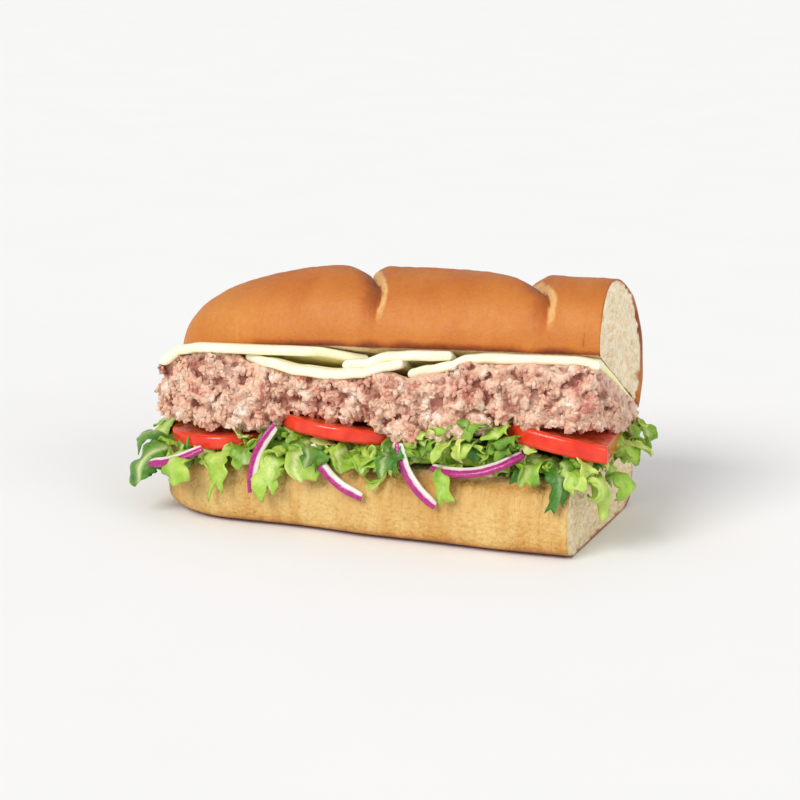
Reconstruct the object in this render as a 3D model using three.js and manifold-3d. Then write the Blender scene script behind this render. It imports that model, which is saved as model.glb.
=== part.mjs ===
// A six-inch submarine sandwich: a soft white roll cut through along its side, filled from below with
// shredded lettuce, red onion strips, tomato slices, tuna salad and slices of white cheese.
// Millimetres, +Z up. X runs along the roll: the round baked end is at -X, the knife cut at +X.
// The open side, where the fillings spill out, faces -Y. The top half leans back on the fillings.
import * as THREE from 'three';
import { mergeVertices } from 'three/addons/utils/BufferGeometryUtils.js';
import Module from 'manifold-3d';

const wasm = await Module();
wasm.setup();

// Driving dimensions.
const GAP = 0.35;               // clearance between neighbouring foods
const ROLL_LEFT = -80;          // round end of the bottom half
const ROLL_CUT = 75;            // knife cut of the bottom half
const ROLL_HALF_WIDTH = 38;
const ROLL_MIDDLE_Y = -2;
const BOTTOM_HEIGHT = 26;       // at the knife cut
const BOTTOM_SLOPE = 3.5;       // how much lower the bottom half is at its round end
const BOTTOM_ROUND_END = 34;    // length of the rounded end
const BOTTOM_TIP = 13;          // height of its tip over the table

const TOP_LENGTH = 155;
const TOP_ROUND_END = 55;
const TOP_THICKNESS = 33.5;
const LOBE_RISE = 2.4;          // how much thicker the roll is towards its round end
const TOP_HALF_WIDTH = 38;
const TOP_CHORD = 67;           // width of the top half's cut face
const TOP_WAIST = 9;            // height of its widest part over the cut face
const TOP_UNDERCUT = 0.42;     // how far the dome turns in under its widest part, in radians
// Front lower corner of the top half at the knife cut, and how the top half lies, in degrees.
const LID_CORNER = new THREE.Vector3(79.5, -21, 65);
const LID_YAW = 5;
const LID_SLOPE = 1.6;
const LID_TILT = 27;
// Baker's cuts over the top half: place, depth, and reach towards each end.
const SCORES = [
  { at: -93, depth: 7, before: 17, after: 6 },
  { at: -38, depth: 8.5, before: 19, after: 7 },
];
// How far a cut runs aslant from the middle of the roll to either side, at each of the two.
const SCORE_SLANTS = [17, 20];

const CHEESE = { thickness: 2.6, front: -5, back: 64 };
const TOMATO_EDGE = 1.4;        // radius of a slice's soft rim
const ONION = { slice: 2.1, layer: 4.2, radius: 27 };
const LEAF_THICKNESS = 0.9;

// Seeded draws, the same on every run.
function seeded(seed) {
  let state = seed;
  return () => {
    state = (state + 0x6D2B79F5) | 0;
    let t = Math.imul(state ^ (state >>> 15), 1 | state);
    t = (t + Math.imul(t ^ (t >>> 7), 61 | t)) ^ t;
    return ((t ^ (t >>> 14)) >>> 0) / 4294967296;
  };
}

const radians = THREE.MathUtils.degToRad;
const smooth = THREE.MathUtils.smoothstep;
const lerp = THREE.MathUtils.lerp;
const clamp = THREE.MathUtils.clamp;

// A value between stations [place, value], eased from one to the next.
function along(stations, place) {
  if (place <= stations[0][0]) return stations[0][1];
  for (let i = 1; i < stations.length; i++) {
    const [a, va] = stations[i - 1];
    const [b, vb] = stations[i];
    if (place <= b) return lerp(va, vb, smooth(place, a, b));
  }
  return stations[stations.length - 1][1];
}

function solidOf(geometry) {
  const bare = geometry.index ? geometry.toNonIndexed() : geometry.clone();
  for (const name of Object.keys(bare.attributes)) if (name !== 'position') bare.deleteAttribute(name);
  const merged = mergeVertices(bare, 1e-4);
  const mesh = new wasm.Mesh({
    numProp: 3,
    vertProperties: merged.attributes.position.array,
    triVerts: new Uint32Array(merged.index.array),
  });
  return new wasm.Manifold(mesh);
}

function geometryOf(solid) {
  const mesh = solid.getMesh();
  const indexed = new THREE.BufferGeometry();
  indexed.setAttribute('position', new THREE.BufferAttribute(new Float32Array(mesh.vertProperties), 3));
  indexed.setIndex(new THREE.BufferAttribute(new Uint32Array(mesh.triVerts), 1));
  return indexed;
}

// Drops loose scraps that a cut leaves behind.
function largestPiece(solid) {
  const pieces = solid.decompose();
  return pieces.reduce((best, piece) => (piece.volume() > best.volume() ? piece : best));
}

function joined(solids) {
  return solids.reduce((whole, next) => whole.add(next));
}

// A closed skin over a row of rings that all have the same number of points, with flat or pointed ends.
function skinned(rings) {
  const count = rings[0].length;
  const points = rings.flat();
  const faces = [];
  for (let r = 0; r + 1 < rings.length; r++) {
    for (let i = 0; i < count; i++) {
      const j = (i + 1) % count;
      const a = r * count + i;
      const b = r * count + j;
      faces.push(a, b, b + count, a, b + count, a + count);
    }
  }
  const capAt = (ring, first, turn) => {
    const middle = ring.reduce((sum, p) => sum.add(p), new THREE.Vector3()).divideScalar(count);
    const centre = points.push(middle) - 1;
    for (let i = 0; i < count; i++) {
      const j = (i + 1) % count;
      faces.push(...(turn ? [centre, first + j, first + i] : [centre, first + i, first + j]));
    }
  };
  capAt(rings[0], 0, true);
  capAt(rings[rings.length - 1], (rings.length - 1) * count, false);
  return outward(points, faces);
}

// A sheet between an upper and a lower face, both split into triangles alike.
function sheet(upper, lower, across, length) {
  const points = [];
  const faces = [];
  for (const face of [upper, lower])
    for (let i = 0; i <= length; i++)
      for (let j = 0; j <= across; j++) points.push(face(i / length, j / across));
  const row = across + 1;
  const under = (length + 1) * row;
  for (let i = 0; i < length; i++) {
    for (let j = 0; j < across; j++) {
      const a = i * row + j;
      const corners = [a, a + 1, a + row + 1, a, a + row + 1, a + row];
      faces.push(...corners);
      faces.push(...corners.map((k) => k + under).reverse());
    }
  }
  const rim = [];
  for (let j = 0; j < across; j++) rim.push(j);
  for (let i = 0; i < length; i++) rim.push(i * row + across);
  for (let j = across; j > 0; j--) rim.push(length * row + j);
  for (let i = length; i > 0; i--) rim.push(i * row);
  rim.forEach((a, k) => {
    const b = rim[(k + 1) % rim.length];
    faces.push(b, a, a + under, b, a + under, b + under);
  });
  return outward(points, faces);
}

// Turns every face round if they point inwards.
function outward(points, faces) {
  let volume = 0;
  for (let i = 0; i < faces.length; i += 3) {
    const [a, b, c] = [points[faces[i]], points[faces[i + 1]], points[faces[i + 2]]];
    volume += a.dot(b.clone().cross(c));
  }
  if (volume < 0) faces.reverse();
  const geometry = new THREE.BufferGeometry().setFromPoints(points);
  geometry.setIndex(faces);
  return geometry;
}

// The top half's own frame: x along the roll with 0 at the knife cut, y across its cut face from the
// front edge down to the back, z square to the cut face.
const lid = new THREE.Group();
{
  const level = new THREE.Vector3(-Math.sin(radians(LID_YAW)), Math.cos(radians(LID_YAW)), 0);
  const axis = new THREE.Vector3(Math.cos(radians(LID_YAW)), Math.sin(radians(LID_YAW)), 0)
    .multiplyScalar(Math.cos(radians(LID_SLOPE)));
  axis.z = Math.sin(radians(LID_SLOPE));
  const square = new THREE.Vector3().crossVectors(axis, level).normalize();
  const across = level.clone().multiplyScalar(Math.cos(radians(LID_TILT)))
    .addScaledVector(square, -Math.sin(radians(LID_TILT)));
  const normal = new THREE.Vector3().crossVectors(axis, across).normalize();
  lid.quaternion.setFromRotationMatrix(new THREE.Matrix4().makeBasis(axis, across, normal));
  lid.position.copy(LID_CORNER);
  lid.updateMatrixWorld(true);
}
const lidMatrix = lid.matrixWorld.clone();
const lidNormal = new THREE.Vector3(0, 0, 1).transformDirection(lidMatrix);

// Height over the table of the plane that lies at a given height in the top half's frame.
function lidHeight(x, y, level) {
  const dx = x - LID_CORNER.x;
  const dy = y - LID_CORNER.y;
  return LID_CORNER.z + (level - lidNormal.x * dx - lidNormal.y * dy) / lidNormal.z;
}

// Share of the full section left in the rounded end of a half roll.
function endShare(distance, roundEnd) {
  const run = clamp(1 - distance / roundEnd, 0, 1);
  return Math.max(0.03, Math.pow(1 - Math.pow(run, 2.3), 1 / 2.3));
}

// Places along a half roll, closer together in the rounded end.
function stationsOf(length, roundEnd, count) {
  const places = [];
  const inEnd = Math.round(count * 0.4);
  for (let i = 0; i < inEnd; i++) places.push(roundEnd * (1 - Math.cos((i / inEnd) * Math.PI / 2)));
  for (let i = 0; i <= count - inEnd; i++) places.push(lerp(roundEnd, length, i / (count - inEnd)));
  return places;
}

// Height of the bottom half's cut face at a place along the roll.
function bottomTop(x) {
  return BOTTOM_HEIGHT - BOTTOM_SLOPE * clamp((ROLL_CUT - x) / (ROLL_CUT - ROLL_LEFT), 0, 1);
}

// Bottom half of the roll: flat under, full at the sides, cut flat on top and straight at the knife cut.
function bottomHalf(grow) {
  const side = new THREE.SplineCurve([
    new THREE.Vector2(0.79, 0), new THREE.Vector2(0.95, 0.09), new THREE.Vector2(1, 0.32),
    new THREE.Vector2(1, 0.58), new THREE.Vector2(0.94, 0.83), new THREE.Vector2(0.82, 1),
  ]).getPoints(8);
  const outline = [...side, ...side.map((p) => new THREE.Vector2(-p.x, p.y)).reverse()];
  const length = ROLL_CUT - ROLL_LEFT;
  const rings = stationsOf(length, BOTTOM_ROUND_END, 18).map((distance) => {
    const share = endShare(distance, BOTTOM_ROUND_END);
    const x = ROLL_LEFT + distance;
    const high = lerp(BOTTOM_TIP + 6, bottomTop(x), Math.pow(share, 0.8));
    const low = lerp(BOTTOM_TIP - 4, 0, Math.pow(share, 0.7));
    const sway = 0.7 * Math.sin(x * 0.055) + 0.4 * Math.sin(x * 0.13 + 1);
    return outline.map((p) => new THREE.Vector3(
      x + (distance > length - 1 ? grow : 0) - (distance < 1 ? grow : 0),
      ROLL_MIDDLE_Y + p.x * (ROLL_HALF_WIDTH * share + grow + sway * share),
      lerp(low - grow, high + grow, p.y),
    ));
  });
  return skinned(rings);
}

// How much of the top half's radius a baker's cut takes away at a place along the roll. The lobes swell
// towards the cut like round shoulders, steepest right beside it.
function scoreDepth(place) {
  return SCORES.reduce((sum, cut) => {
    const away = place - cut.at;
    const reach = away < 0 ? cut.before : cut.after;
    const share = clamp(1 - Math.abs(away) / reach, 0, 1);
    const shoulder = 1 - Math.sqrt(1 - share * share);
    return sum + cut.depth * (0.5 * Math.pow(share, away < 0 ? 2.4 : 1.8) + 0.5 * shoulder);
  }, 0);
}

// Top half of the roll: a dome over its cut face, pinched by two baker's cuts, in the lid's frame.
function topHalf() {
  const middle = TOP_CHORD / 2 + 2.5;
  const dome = [];
  const steps = 16;
  for (let i = 0; i <= steps; i++) {
    const angle = lerp(-TOP_UNDERCUT, Math.PI + TOP_UNDERCUT, i / steps);
    const c = Math.cos(angle);
    const s = Math.sin(angle);
    const side = -Math.sign(c) * Math.pow(Math.abs(c), 0.86);
    dome.push(new THREE.Vector2(side, s < 0 ? s / Math.sin(TOP_UNDERCUT) : Math.pow(s, 0.86)));
  }
  const base = stationsOf(TOP_LENGTH, 34, 24);
  const extra = SCORES.flatMap((cut) => [-0.45, -0.2, -0.07, 0, 0.1, 0.3, 0.7]
    .map((part) => TOP_LENGTH + cut.at + part * (part < 0 ? cut.before : cut.after)));
  const kept = base.filter((d) => extra.every((e) => Math.abs(e - d) > 2.2));
  const places = [...kept, ...extra].sort((a, b) => a - b);
  const rings = places.map((distance) => {
    const share = endShare(distance, TOP_ROUND_END);
    const place = distance - TOP_LENGTH;
    const thickness = TOP_THICKNESS + LOBE_RISE * smooth(-place, 10, 90);
    const pinch = scoreDepth(place);
    const turned = smooth(place, SCORES[0].at, SCORES[1].at);
    const slant = lerp(...SCORE_SLANTS, turned) * smooth(-place, 1, 30) * smooth(distance, 0, 40);
    return dome.map((p) => {
      const up = Math.max(0, p.y);
      const shrink = pinch * (0.22 + 0.78 * Math.pow(up, 1.2)) * Math.min(1, share * 1.4);
      const reach = Math.max(0.5, TOP_HALF_WIDTH * Math.pow(share, 0.95) - shrink * 0.5);
      const waist = TOP_WAIST * share;
      const rise = p.y > 0 ? (thickness - TOP_WAIST) * share - shrink : waist;
      return new THREE.Vector3(place - slant * p.x, middle + p.x * reach, waist + p.y * rise);
    });
  });
  return skinned(rings);
}

const root = new THREE.Group();
root.name = 'submarine_sandwich';
const design = new THREE.Group();
root.add(design);

function material(colour, roughness) {
  return new THREE.MeshStandardMaterial({ color: colour, roughness, metalness: 0 });
}
const crust = material(0xd98b45, 0.6);
const paleCrust = material(0xe0b069, 0.65);
const cheese = material(0xf6efcc, 0.35);
const tuna = material(0xd9ad9a, 0.55);
const tomato = material(0xd93a22, 0.25);
const onion = material(0xc04a8e, 0.35);
const lettuce = material(0x8fc43c, 0.45);

function add(parent, name, geometry, finish) {
  const mesh = new THREE.Mesh(geometry, finish);
  mesh.name = name;
  parent.add(mesh);
  mesh.updateMatrixWorld(true);
  return mesh;
}

design.add(lid);
add(design, 'bread_bottom', bottomHalf(0), paleCrust);
add(lid, 'bread_top', topHalf(), crust);

// Cheese slices in two layers, seen from the front: their places along the roll, and how low the
// middle of each lies under the cut face of the top half along its front edge.
const UPPER = -1.6;
const LOWER = -4.6;
const SLICES = [
  {
    from: -149.5, to: -80, tucked: 9, flat: UPPER,
    front: [[-149.5, -7], [-143, -2.6], [-137, UPPER], [-100, UPPER], [-80, -2.2]],
  },
  {
    from: -120.5, to: -64.5, tucked: 0, flat: LOWER,
    front: [[-120.5, LOWER], [-112, -5.9], [-100, -8.2], [-88, -9.2], [-79, -8.3], [-70, -5.6],
      [-65, LOWER]],
  },
  {
    from: -86, to: -49, tucked: 0, flat: UPPER,
    front: [[-86, -6.2], [-79, -5.3], [-70, -2.4], [-60, UPPER]],
  },
  {
    from: -63, to: 1, tucked: 0, flat: LOWER,
    front: [[-63, -8.2], [-56, -6.4], [-49, -4.8], [-43, -2.2], [-36, UPPER], [-8, UPPER], [1, -2.6]],
  },
];
const droop = (y) => Math.exp(-Math.pow((y - CHEESE.front) / 17, 2));

function sliceMiddle(slice, x, y) {
  const front = along(slice.front, x);
  const flat = slice.flat === LOWER ? lerp(LOWER, UPPER, smooth(x, -48, -38)) : slice.flat;
  return lerp(flat, front, droop(y));
}

// One slice; grown, it is the room that the slice and all above it take from the fillings.
function cheeseSlice(slice, number, grow) {
  const skew = 1.5 * Math.sin(number * 2.1);
  const at = (side) => (u, v) => {
    const x = lerp(slice.from - grow, slice.to + grow - slice.tucked * smooth(v, 0, 0.12), u);
    const y = lerp(CHEESE.front + skew * (u - 0.5) - grow, CHEESE.back + skew + grow, v);
    const reach = grow > 0 && side > 0 ? 40 : CHEESE.thickness / 2 + grow;
    return new THREE.Vector3(x, y, sliceMiddle(slice, x, y) + side * reach);
  };
  return sheet(at(1), at(-1), 5, 9);
}
SLICES.forEach((slice, i) => add(lid, `cheese_${i + 1}`, cheeseSlice(slice, i, 0), cheese));

function overFillings() {
  const ceiling = UPPER - CHEESE.thickness / 2 - GAP;
  const above = new THREE.BoxGeometry(260, 200, 60).translate(-80, 30, 30 + ceiling);
  const blocks = [above, ...SLICES.map((slice, i) => cheeseSlice(slice, i, GAP))];
  return joined(blocks.map((block) => solidOf(block.applyMatrix4(lidMatrix))));
}

// Tomato slices, each a disc with a soft rim; the last one is trimmed by the knife cut.
const TOMATOES = [
  { x: -53, y: -16, z: 27.4, radius: 22.5, thickness: 5, pitch: 0, roll: -2.5 },
  { x: -8, y: -14.5, z: 32.4, radius: 27, thickness: 5, pitch: -8, roll: 4.5 },
  { x: 68, y: -9, z: 34.4, radius: 29.5, thickness: 6, pitch: -9, roll: 9 },
];
const TOMATO_TRIM = { x: 86, turn: 10 };

function discProfile(radius, thickness, edge) {
  const points = [new THREE.Vector2(0, -thickness / 2)];
  for (let i = 0; i <= 3; i++) {
    const angle = lerp(-Math.PI / 2, Math.PI / 2, i / 3);
    points.push(new THREE.Vector2(
      radius - edge + edge * Math.cos(angle),
      Math.sign(angle) * (thickness / 2 - edge) + edge * Math.sin(angle),
    ));
  }
  points.push(new THREE.Vector2(0, thickness / 2));
  return points;
}

function tomatoSolid(slice, grow, down) {
  const disc = new THREE.LatheGeometry(
    discProfile(slice.radius + grow, slice.thickness + 2 * grow, TOMATO_EDGE + grow), 24);
  const place = new THREE.Matrix4().makeRotationFromEuler(
    new THREE.Euler(radians(slice.pitch), radians(slice.roll), 0)).setPosition(slice.x, slice.y, slice.z);
  disc.rotateX(Math.PI / 2);
  disc.applyMatrix4(place);
  let solid = solidOf(disc);
  if (slice === TOMATOES[2]) {
    const block = new THREE.BoxGeometry(60, 120, 80);
    block.translate(30 + grow, 0, 0).rotateZ(radians(TOMATO_TRIM.turn));
    block.translate(TOMATO_TRIM.x, -33, slice.z);
    solid = solid.subtract(solidOf(block));
  }
  if (!down) return solid;
  const shaft = new THREE.CylinderGeometry(slice.radius + grow, slice.radius + grow, 30, 24);
  shaft.rotateX(Math.PI / 2).translate(0, 0, -15);
  return solid.add(solidOf(shaft.applyMatrix4(place)));
}
TOMATOES.forEach((slice, i) =>
  add(design, `tomato_${i + 1}`, geometryOf(tomatoSolid(slice, 0, false)), tomato));

// Red onion strips: short arcs of a ring. Each has a middle, the way it runs, and the way its skin faces.
const ONIONS = [
  { at: [-63, -44, 20.8], run: [17, 1, 6], skin: [0.1, -0.8, -0.6], length: 22 },
  { at: [-35, -42.5, 26], run: [-5, -4, -17], skin: [-0.9, -0.45, 0.15], length: 26 },
  { at: [-7, -43.5, 20.5], run: [17, -2, -14], skin: [-0.6, -0.35, -0.72], length: 27 },
  { at: [21, -43.5, 23], run: [12, -3, -16], skin: [-0.75, -0.4, -0.5], length: 26 },
  { at: [45, -42.5, 27], run: [31, 3, 7], skin: [0.1, -0.8, -0.6], length: 35 },
  { at: [-24, 36, 27], run: [20, 1, -1], skin: [0, 1, -0.05], length: 24 },
  { at: [40, 38, 28], run: [18, -2, 0], skin: [0, 1, -0.05], length: 27 },
];

function onionSolid(strip, grow) {
  const half = (strip.length / ONION.radius) / 2 + grow / ONION.radius;
  const outer = ONION.radius + grow;
  const inner = ONION.radius - ONION.layer - grow;
  const shape = new THREE.Shape();
  shape.absarc(0, 0, outer, -half, half, false);
  shape.absarc(0, 0, inner, half, -half, true);
  const arc = new THREE.ExtrudeGeometry(shape, {
    depth: ONION.slice + 2 * grow, bevelEnabled: false, curveSegments: 5,
  });
  arc.translate(-ONION.radius, 0, -ONION.slice / 2 - grow);
  const run = new THREE.Vector3(...strip.run).normalize();
  const skin = new THREE.Vector3(...strip.skin);
  skin.addScaledVector(run, -skin.dot(run)).normalize();
  const face = new THREE.Vector3().crossVectors(skin, run).normalize();
  const place = new THREE.Matrix4().makeBasis(skin, run, face).setPosition(...strip.at);
  return solidOf(arc.applyMatrix4(place));
}
ONIONS.forEach((strip, i) => add(design, `onion_${i + 1}`, geometryOf(onionSolid(strip, 0)), onion));

// Tuna salad. Its ragged lower edge in front, by place along the roll.
const TUNA_LEFT = -79;
const TUNA_RIGHT = 85;
const TUNA_LOW = [
  [-83, 34], [-70, 32.5], [-60, 34], [-48, 32.5], [-37, 33], [-31, 38.5], [-22, 39.5], [-10, 38.5],
  [-3, 37.5], [3, 40], [8, 37.5], [14, 33.5], [22, 36.5], [30, 38], [40, 39.5], [50, 44],
  [57, 44.5], [72, 44], [78, 43], [85, 42],
];
const TUNA_FRONT = [
  [-83, -27], [-72, -36], [-52, -37], [-37, -37.5], [-29, -31.5], [-16, -32.5], [-3, -34], [5, -35],
  [14, -39.5], [24, -39.5], [36, -37.5], [52, -36.5], [74, -34.5], [85, -28],
];
const TUNA_BACK = 33;

// Where the tuna rests on the tomatoes and the lettuce, and how high the bed of lettuce is in front.
function tunaFloor(x, y) {
  const back = bottomTop(x) + 3;
  return lerp(back, along(TUNA_LOW, x), smooth(-y, -TUNA_BACK, 34));
}
const BED_FRONT = [
  [-76, 24.6], [-50, 25], [-34, 31], [-25, 31], [-12, 29], [6, 29], [20, 33], [34, 36], [48, 33], [84, 29],
];

// A point on the tuna's front face, from its top edge, v = 0, to its lower edge, v = 1.
function tunaFace(x, v) {
  const topY = lerp(LID_CORNER.y - 4.5, LID_CORNER.y - 14, smooth(-x, -60, 90)) - 1;
  const topZ = lidHeight(x, topY, -3);
  const lowY = along(TUNA_FRONT, x);
  const lowZ = along(TUNA_LOW, x);
  const bulge = Math.sin(v * Math.PI) * 4.2;
  const y = lerp(topY, lowY, Math.pow(v, 0.75)) - bulge * 0.75;
  return new THREE.Vector3(x, y, lerp(topZ, lowZ, v) + bulge * 0.45);
}

function tunaCore(grow) {
  const rings = [];
  const count = 12;
  for (let i = 0; i <= count; i++) {
    const x = lerp(TUNA_LEFT + 4, TUNA_RIGHT - 4, i / count);
    const inEnd = Math.min(x - TUNA_LEFT, TUNA_RIGHT - x);
    const shrink = 1 - 0.28 * Math.pow(clamp(1 - inEnd / 16, 0, 1), 2);
    const ring = [];
    for (let k = 0; k <= 5; k++) ring.push(tunaFace(x, k / 5));
    ring.push(new THREE.Vector3(x, along(TUNA_FRONT, x) + 5, tunaFloor(x, along(TUNA_FRONT, x) + 5)));
    ring.push(new THREE.Vector3(x, -8, tunaFloor(x, -8)));
    ring.push(new THREE.Vector3(x, 14, tunaFloor(x, 14)));
    ring.push(new THREE.Vector3(x, TUNA_BACK - 2, tunaFloor(x, TUNA_BACK)));
    ring.push(new THREE.Vector3(x, TUNA_BACK, lidHeight(x, TUNA_BACK, 4)));
    ring.push(new THREE.Vector3(x, LID_CORNER.y, lidHeight(x, LID_CORNER.y, 4)));
    const middle = ring.reduce((sum, p) => sum.add(p), new THREE.Vector3()).divideScalar(ring.length);
    rings.push(ring.map((p) => {
      const out = p.clone().sub(middle);
      return middle.clone().addScaledVector(out, shrink).addScaledVector(out.clone().normalize(), grow);
    }));
  }
  return solidOf(skinned(rings));
}

// A lump of flaked tuna: a rough ball.
function lump(centre, radius, squash, draw) {
  const ball = new THREE.DodecahedronGeometry(1, 0);
  const seen = new Map();
  const position = ball.attributes.position;
  for (let i = 0; i < position.count; i++) {
    const p = new THREE.Vector3().fromBufferAttribute(position, i);
    const key = `${p.x.toFixed(3)} ${p.y.toFixed(3)} ${p.z.toFixed(3)}`;
    if (!seen.has(key)) seen.set(key, 0.86 + 0.34 * draw());
    p.multiplyScalar(radius * seen.get(key));
    position.setXYZ(i, p.x, p.y, p.z);
  }
  ball.scale(1, squash, 1).rotateX(draw() * Math.PI).rotateZ(draw() * Math.PI);
  return solidOf(ball.translate(centre.x, centre.y, centre.z));
}

function tunaLumps(grow) {
  const draw = seeded(41);
  const lumps = [];
  const inFront = 36;
  for (let i = 0; i < inFront; i++) {
    const x = lerp(TUNA_LEFT + 6, TUNA_RIGHT - 6, (i + 0.2 + 0.6 * draw()) / inFront);
    const v = 0.12 + 0.88 * (((i * 0.618) + 0.15 * draw()) % 1);
    const radius = 4.2 + 3.8 * draw();
    const centre = tunaFace(x, v);
    centre.y += radius * 0.55;
    centre.z += v > 0.7 ? radius * 0.7 : 0;
    lumps.push(lump(centre, radius + grow, 0.8, draw));
  }
  for (const end of [{ x: TUNA_LEFT, inward: 1, count: 5 }, { x: TUNA_RIGHT, inward: -1, count: 6 }]) {
    for (let i = 0; i < end.count; i++) {
      const radius = 5.5 + 2.5 * draw();
      const y = lerp(-32, 26, (i + 0.5 * draw()) / end.count);
      const high = lidHeight(end.x, y, -8);
      const low = tunaFloor(end.x, y) + radius * 0.6;
      const z = lerp(low, high, i % 2 === 0 ? 0.2 + 0.2 * draw() : 0.75);
      const x = end.x + end.inward * (radius * 0.95 + 0.004 * Math.pow(y + 8, 2));
      lumps.push(lump(new THREE.Vector3(x, y, z), radius + grow, 0.85, draw));
    }
  }
  const behind = 3;
  for (let i = 0; i < behind; i++) {
    const x = lerp(TUNA_LEFT + 14, TUNA_RIGHT - 12, (i + draw()) / behind);
    const radius = 2.4 + 1.2 * draw();
    const centre = new THREE.Vector3(x, TUNA_BACK + 1, tunaFloor(x, TUNA_BACK) + radius * 0.7);
    lumps.push(lump(centre, radius + grow, 0.9, draw));
  }
  return lumps;
}

const tunaHeap = (grow) => joined([tunaCore(grow), ...tunaLumps(grow)]);
let tunaSolid = tunaHeap(0).subtract(overFillings());
for (const slice of TOMATOES) tunaSolid = tunaSolid.subtract(tomatoSolid(slice, GAP, true));
for (const strip of ONIONS) tunaSolid = tunaSolid.subtract(onionSolid(strip, GAP));
tunaSolid = tunaSolid.subtract(solidOf(bottomHalf(GAP))).subtract(lettuceBed(GAP));
add(design, 'tuna_salad', geometryOf(largestPiece(tunaSolid)), tuna);

// Shredded lettuce: a bed on the bottom half, with leaf shreds that spill out all round.
function lettuceBed(grow) {
  const rings = [];
  const count = 10;
  for (let i = 0; i <= count; i++) {
    const x = lerp(-75 - grow, 79 + grow, i / count);
    const low = bottomTop(x) + GAP - grow;
    const inEnd = Math.min(x + 80, 84 - x);
    const half = 1 - 0.45 * Math.pow(clamp(1 - inEnd / 20, 0, 1), 2);
    const front = -33.5 * half - grow;
    const back = 33 * half + grow;
    const level = (y) => lerp(bottomTop(x) + 2, along(BED_FRONT, x), smooth(-y, -20, 30));
    const top = (y) => Math.max(low + 1.2, level(y)) + grow;
    rings.push([
      new THREE.Vector3(x, front, low), new THREE.Vector3(x, front - 2, lerp(low, top(front), 0.5)),
      new THREE.Vector3(x, front, top(front)), new THREE.Vector3(x, -12 * half, top(-12)),
      new THREE.Vector3(x, 12 * half, top(12)), new THREE.Vector3(x, back, top(back)),
      new THREE.Vector3(x, back, low),
    ]);
  }
  return solidOf(skinned(rings));
}

// One shred: it leaves the bed level, bends down under its own weight, twists and ruffles.
function shred(leaf) {
  const heading = new THREE.Vector3(Math.cos(leaf.aim), Math.sin(leaf.aim), 0);
  const start = new THREE.Vector3(...leaf.at).addScaledVector(heading, -4);
  const middle = (t) => start.clone()
    .addScaledVector(heading, leaf.reach * Math.sin(t * Math.PI / 2 * leaf.bend) + 4 * t)
    .add(new THREE.Vector3(0, 0, leaf.lift * Math.sin(t * Math.PI) - leaf.drop * Math.pow(t, 1.7)));
  const frameAt = (t) => {
    const ahead = middle(Math.min(1, t + 0.02)).sub(middle(Math.max(0, t - 0.02))).normalize();
    const side = new THREE.Vector3().crossVectors(ahead, new THREE.Vector3(0, 0, 1));
    if (side.length() < 0.2) side.set(-heading.y, heading.x, 0);
    side.normalize().applyAxisAngle(ahead, leaf.twist * t + leaf.turn);
    return { side, up: new THREE.Vector3().crossVectors(side, ahead).normalize() };
  };
  const at = (face) => (u, v) => {
    const { side, up } = frameAt(u);
    const w = (v - 0.5) * 2;
    const width = leaf.width / 2 * (0.62 + 0.38 * Math.sin(u * 2.6 + 0.4)) * (u > 0.95 ? 0.8 : 1);
    const ruffle = leaf.ruffle * w * Math.sin(u * leaf.waves + leaf.phase) + leaf.cup * w * w;
    const off = ruffle + face * LEAF_THICKNESS / 2;
    return middle(u).addScaledVector(side, w * width).addScaledVector(up, off);
  };
  return solidOf(sheet(at(1), at(-1), 2, 4));
}

// The shreds that hang lowest in front and at the ends: place, heading in degrees, reach, drop and width.
const LONG_SHREDS = [
  [-72, -24, 25, 200, 14, 6, 12], [-72, -10, 27, 176, 14, 5, 11], [-74, 8, 33, 168, 10, -6, 9],
  [-70, -32, 22, 238, 13, 12, 11], [-62, -36, 23, 262, 11, 11, 12], [-47, -35, 25, 268, 10, 18, 9],
  [-38, -34, 27, 262, 9, 8, 8], [-30, -35, 26, 272, 10, 17, 11], [-15, -35, 29, 275, 9, 12, 12],
  [-2, -35, 28, 280, 9, 8, 9], [8, -35, 28, 265, 9, 6, 8], [20, -35, 31, 265, 10, 5, 9],
  [33, -35, 29, 275, 10, 13, 8], [42, -35, 33, 268, 10, 0, 12], [52, -34, 32, 275, 9, 3, 9],
  [61, -34, 30, 280, 10, 9, 10], [69, -33, 30, 285, 10, 16, 9], [74, -30, 30, 300, 12, 10, 10],
  [74, -25, 29, 312, 12, 21, 6], [76, -14, 30, 338, 9, 13, 10], [76, 0, 31, 352, 10, 9, 11],
  [76, 12, 30, 12, 9, 6, 10],
];

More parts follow.
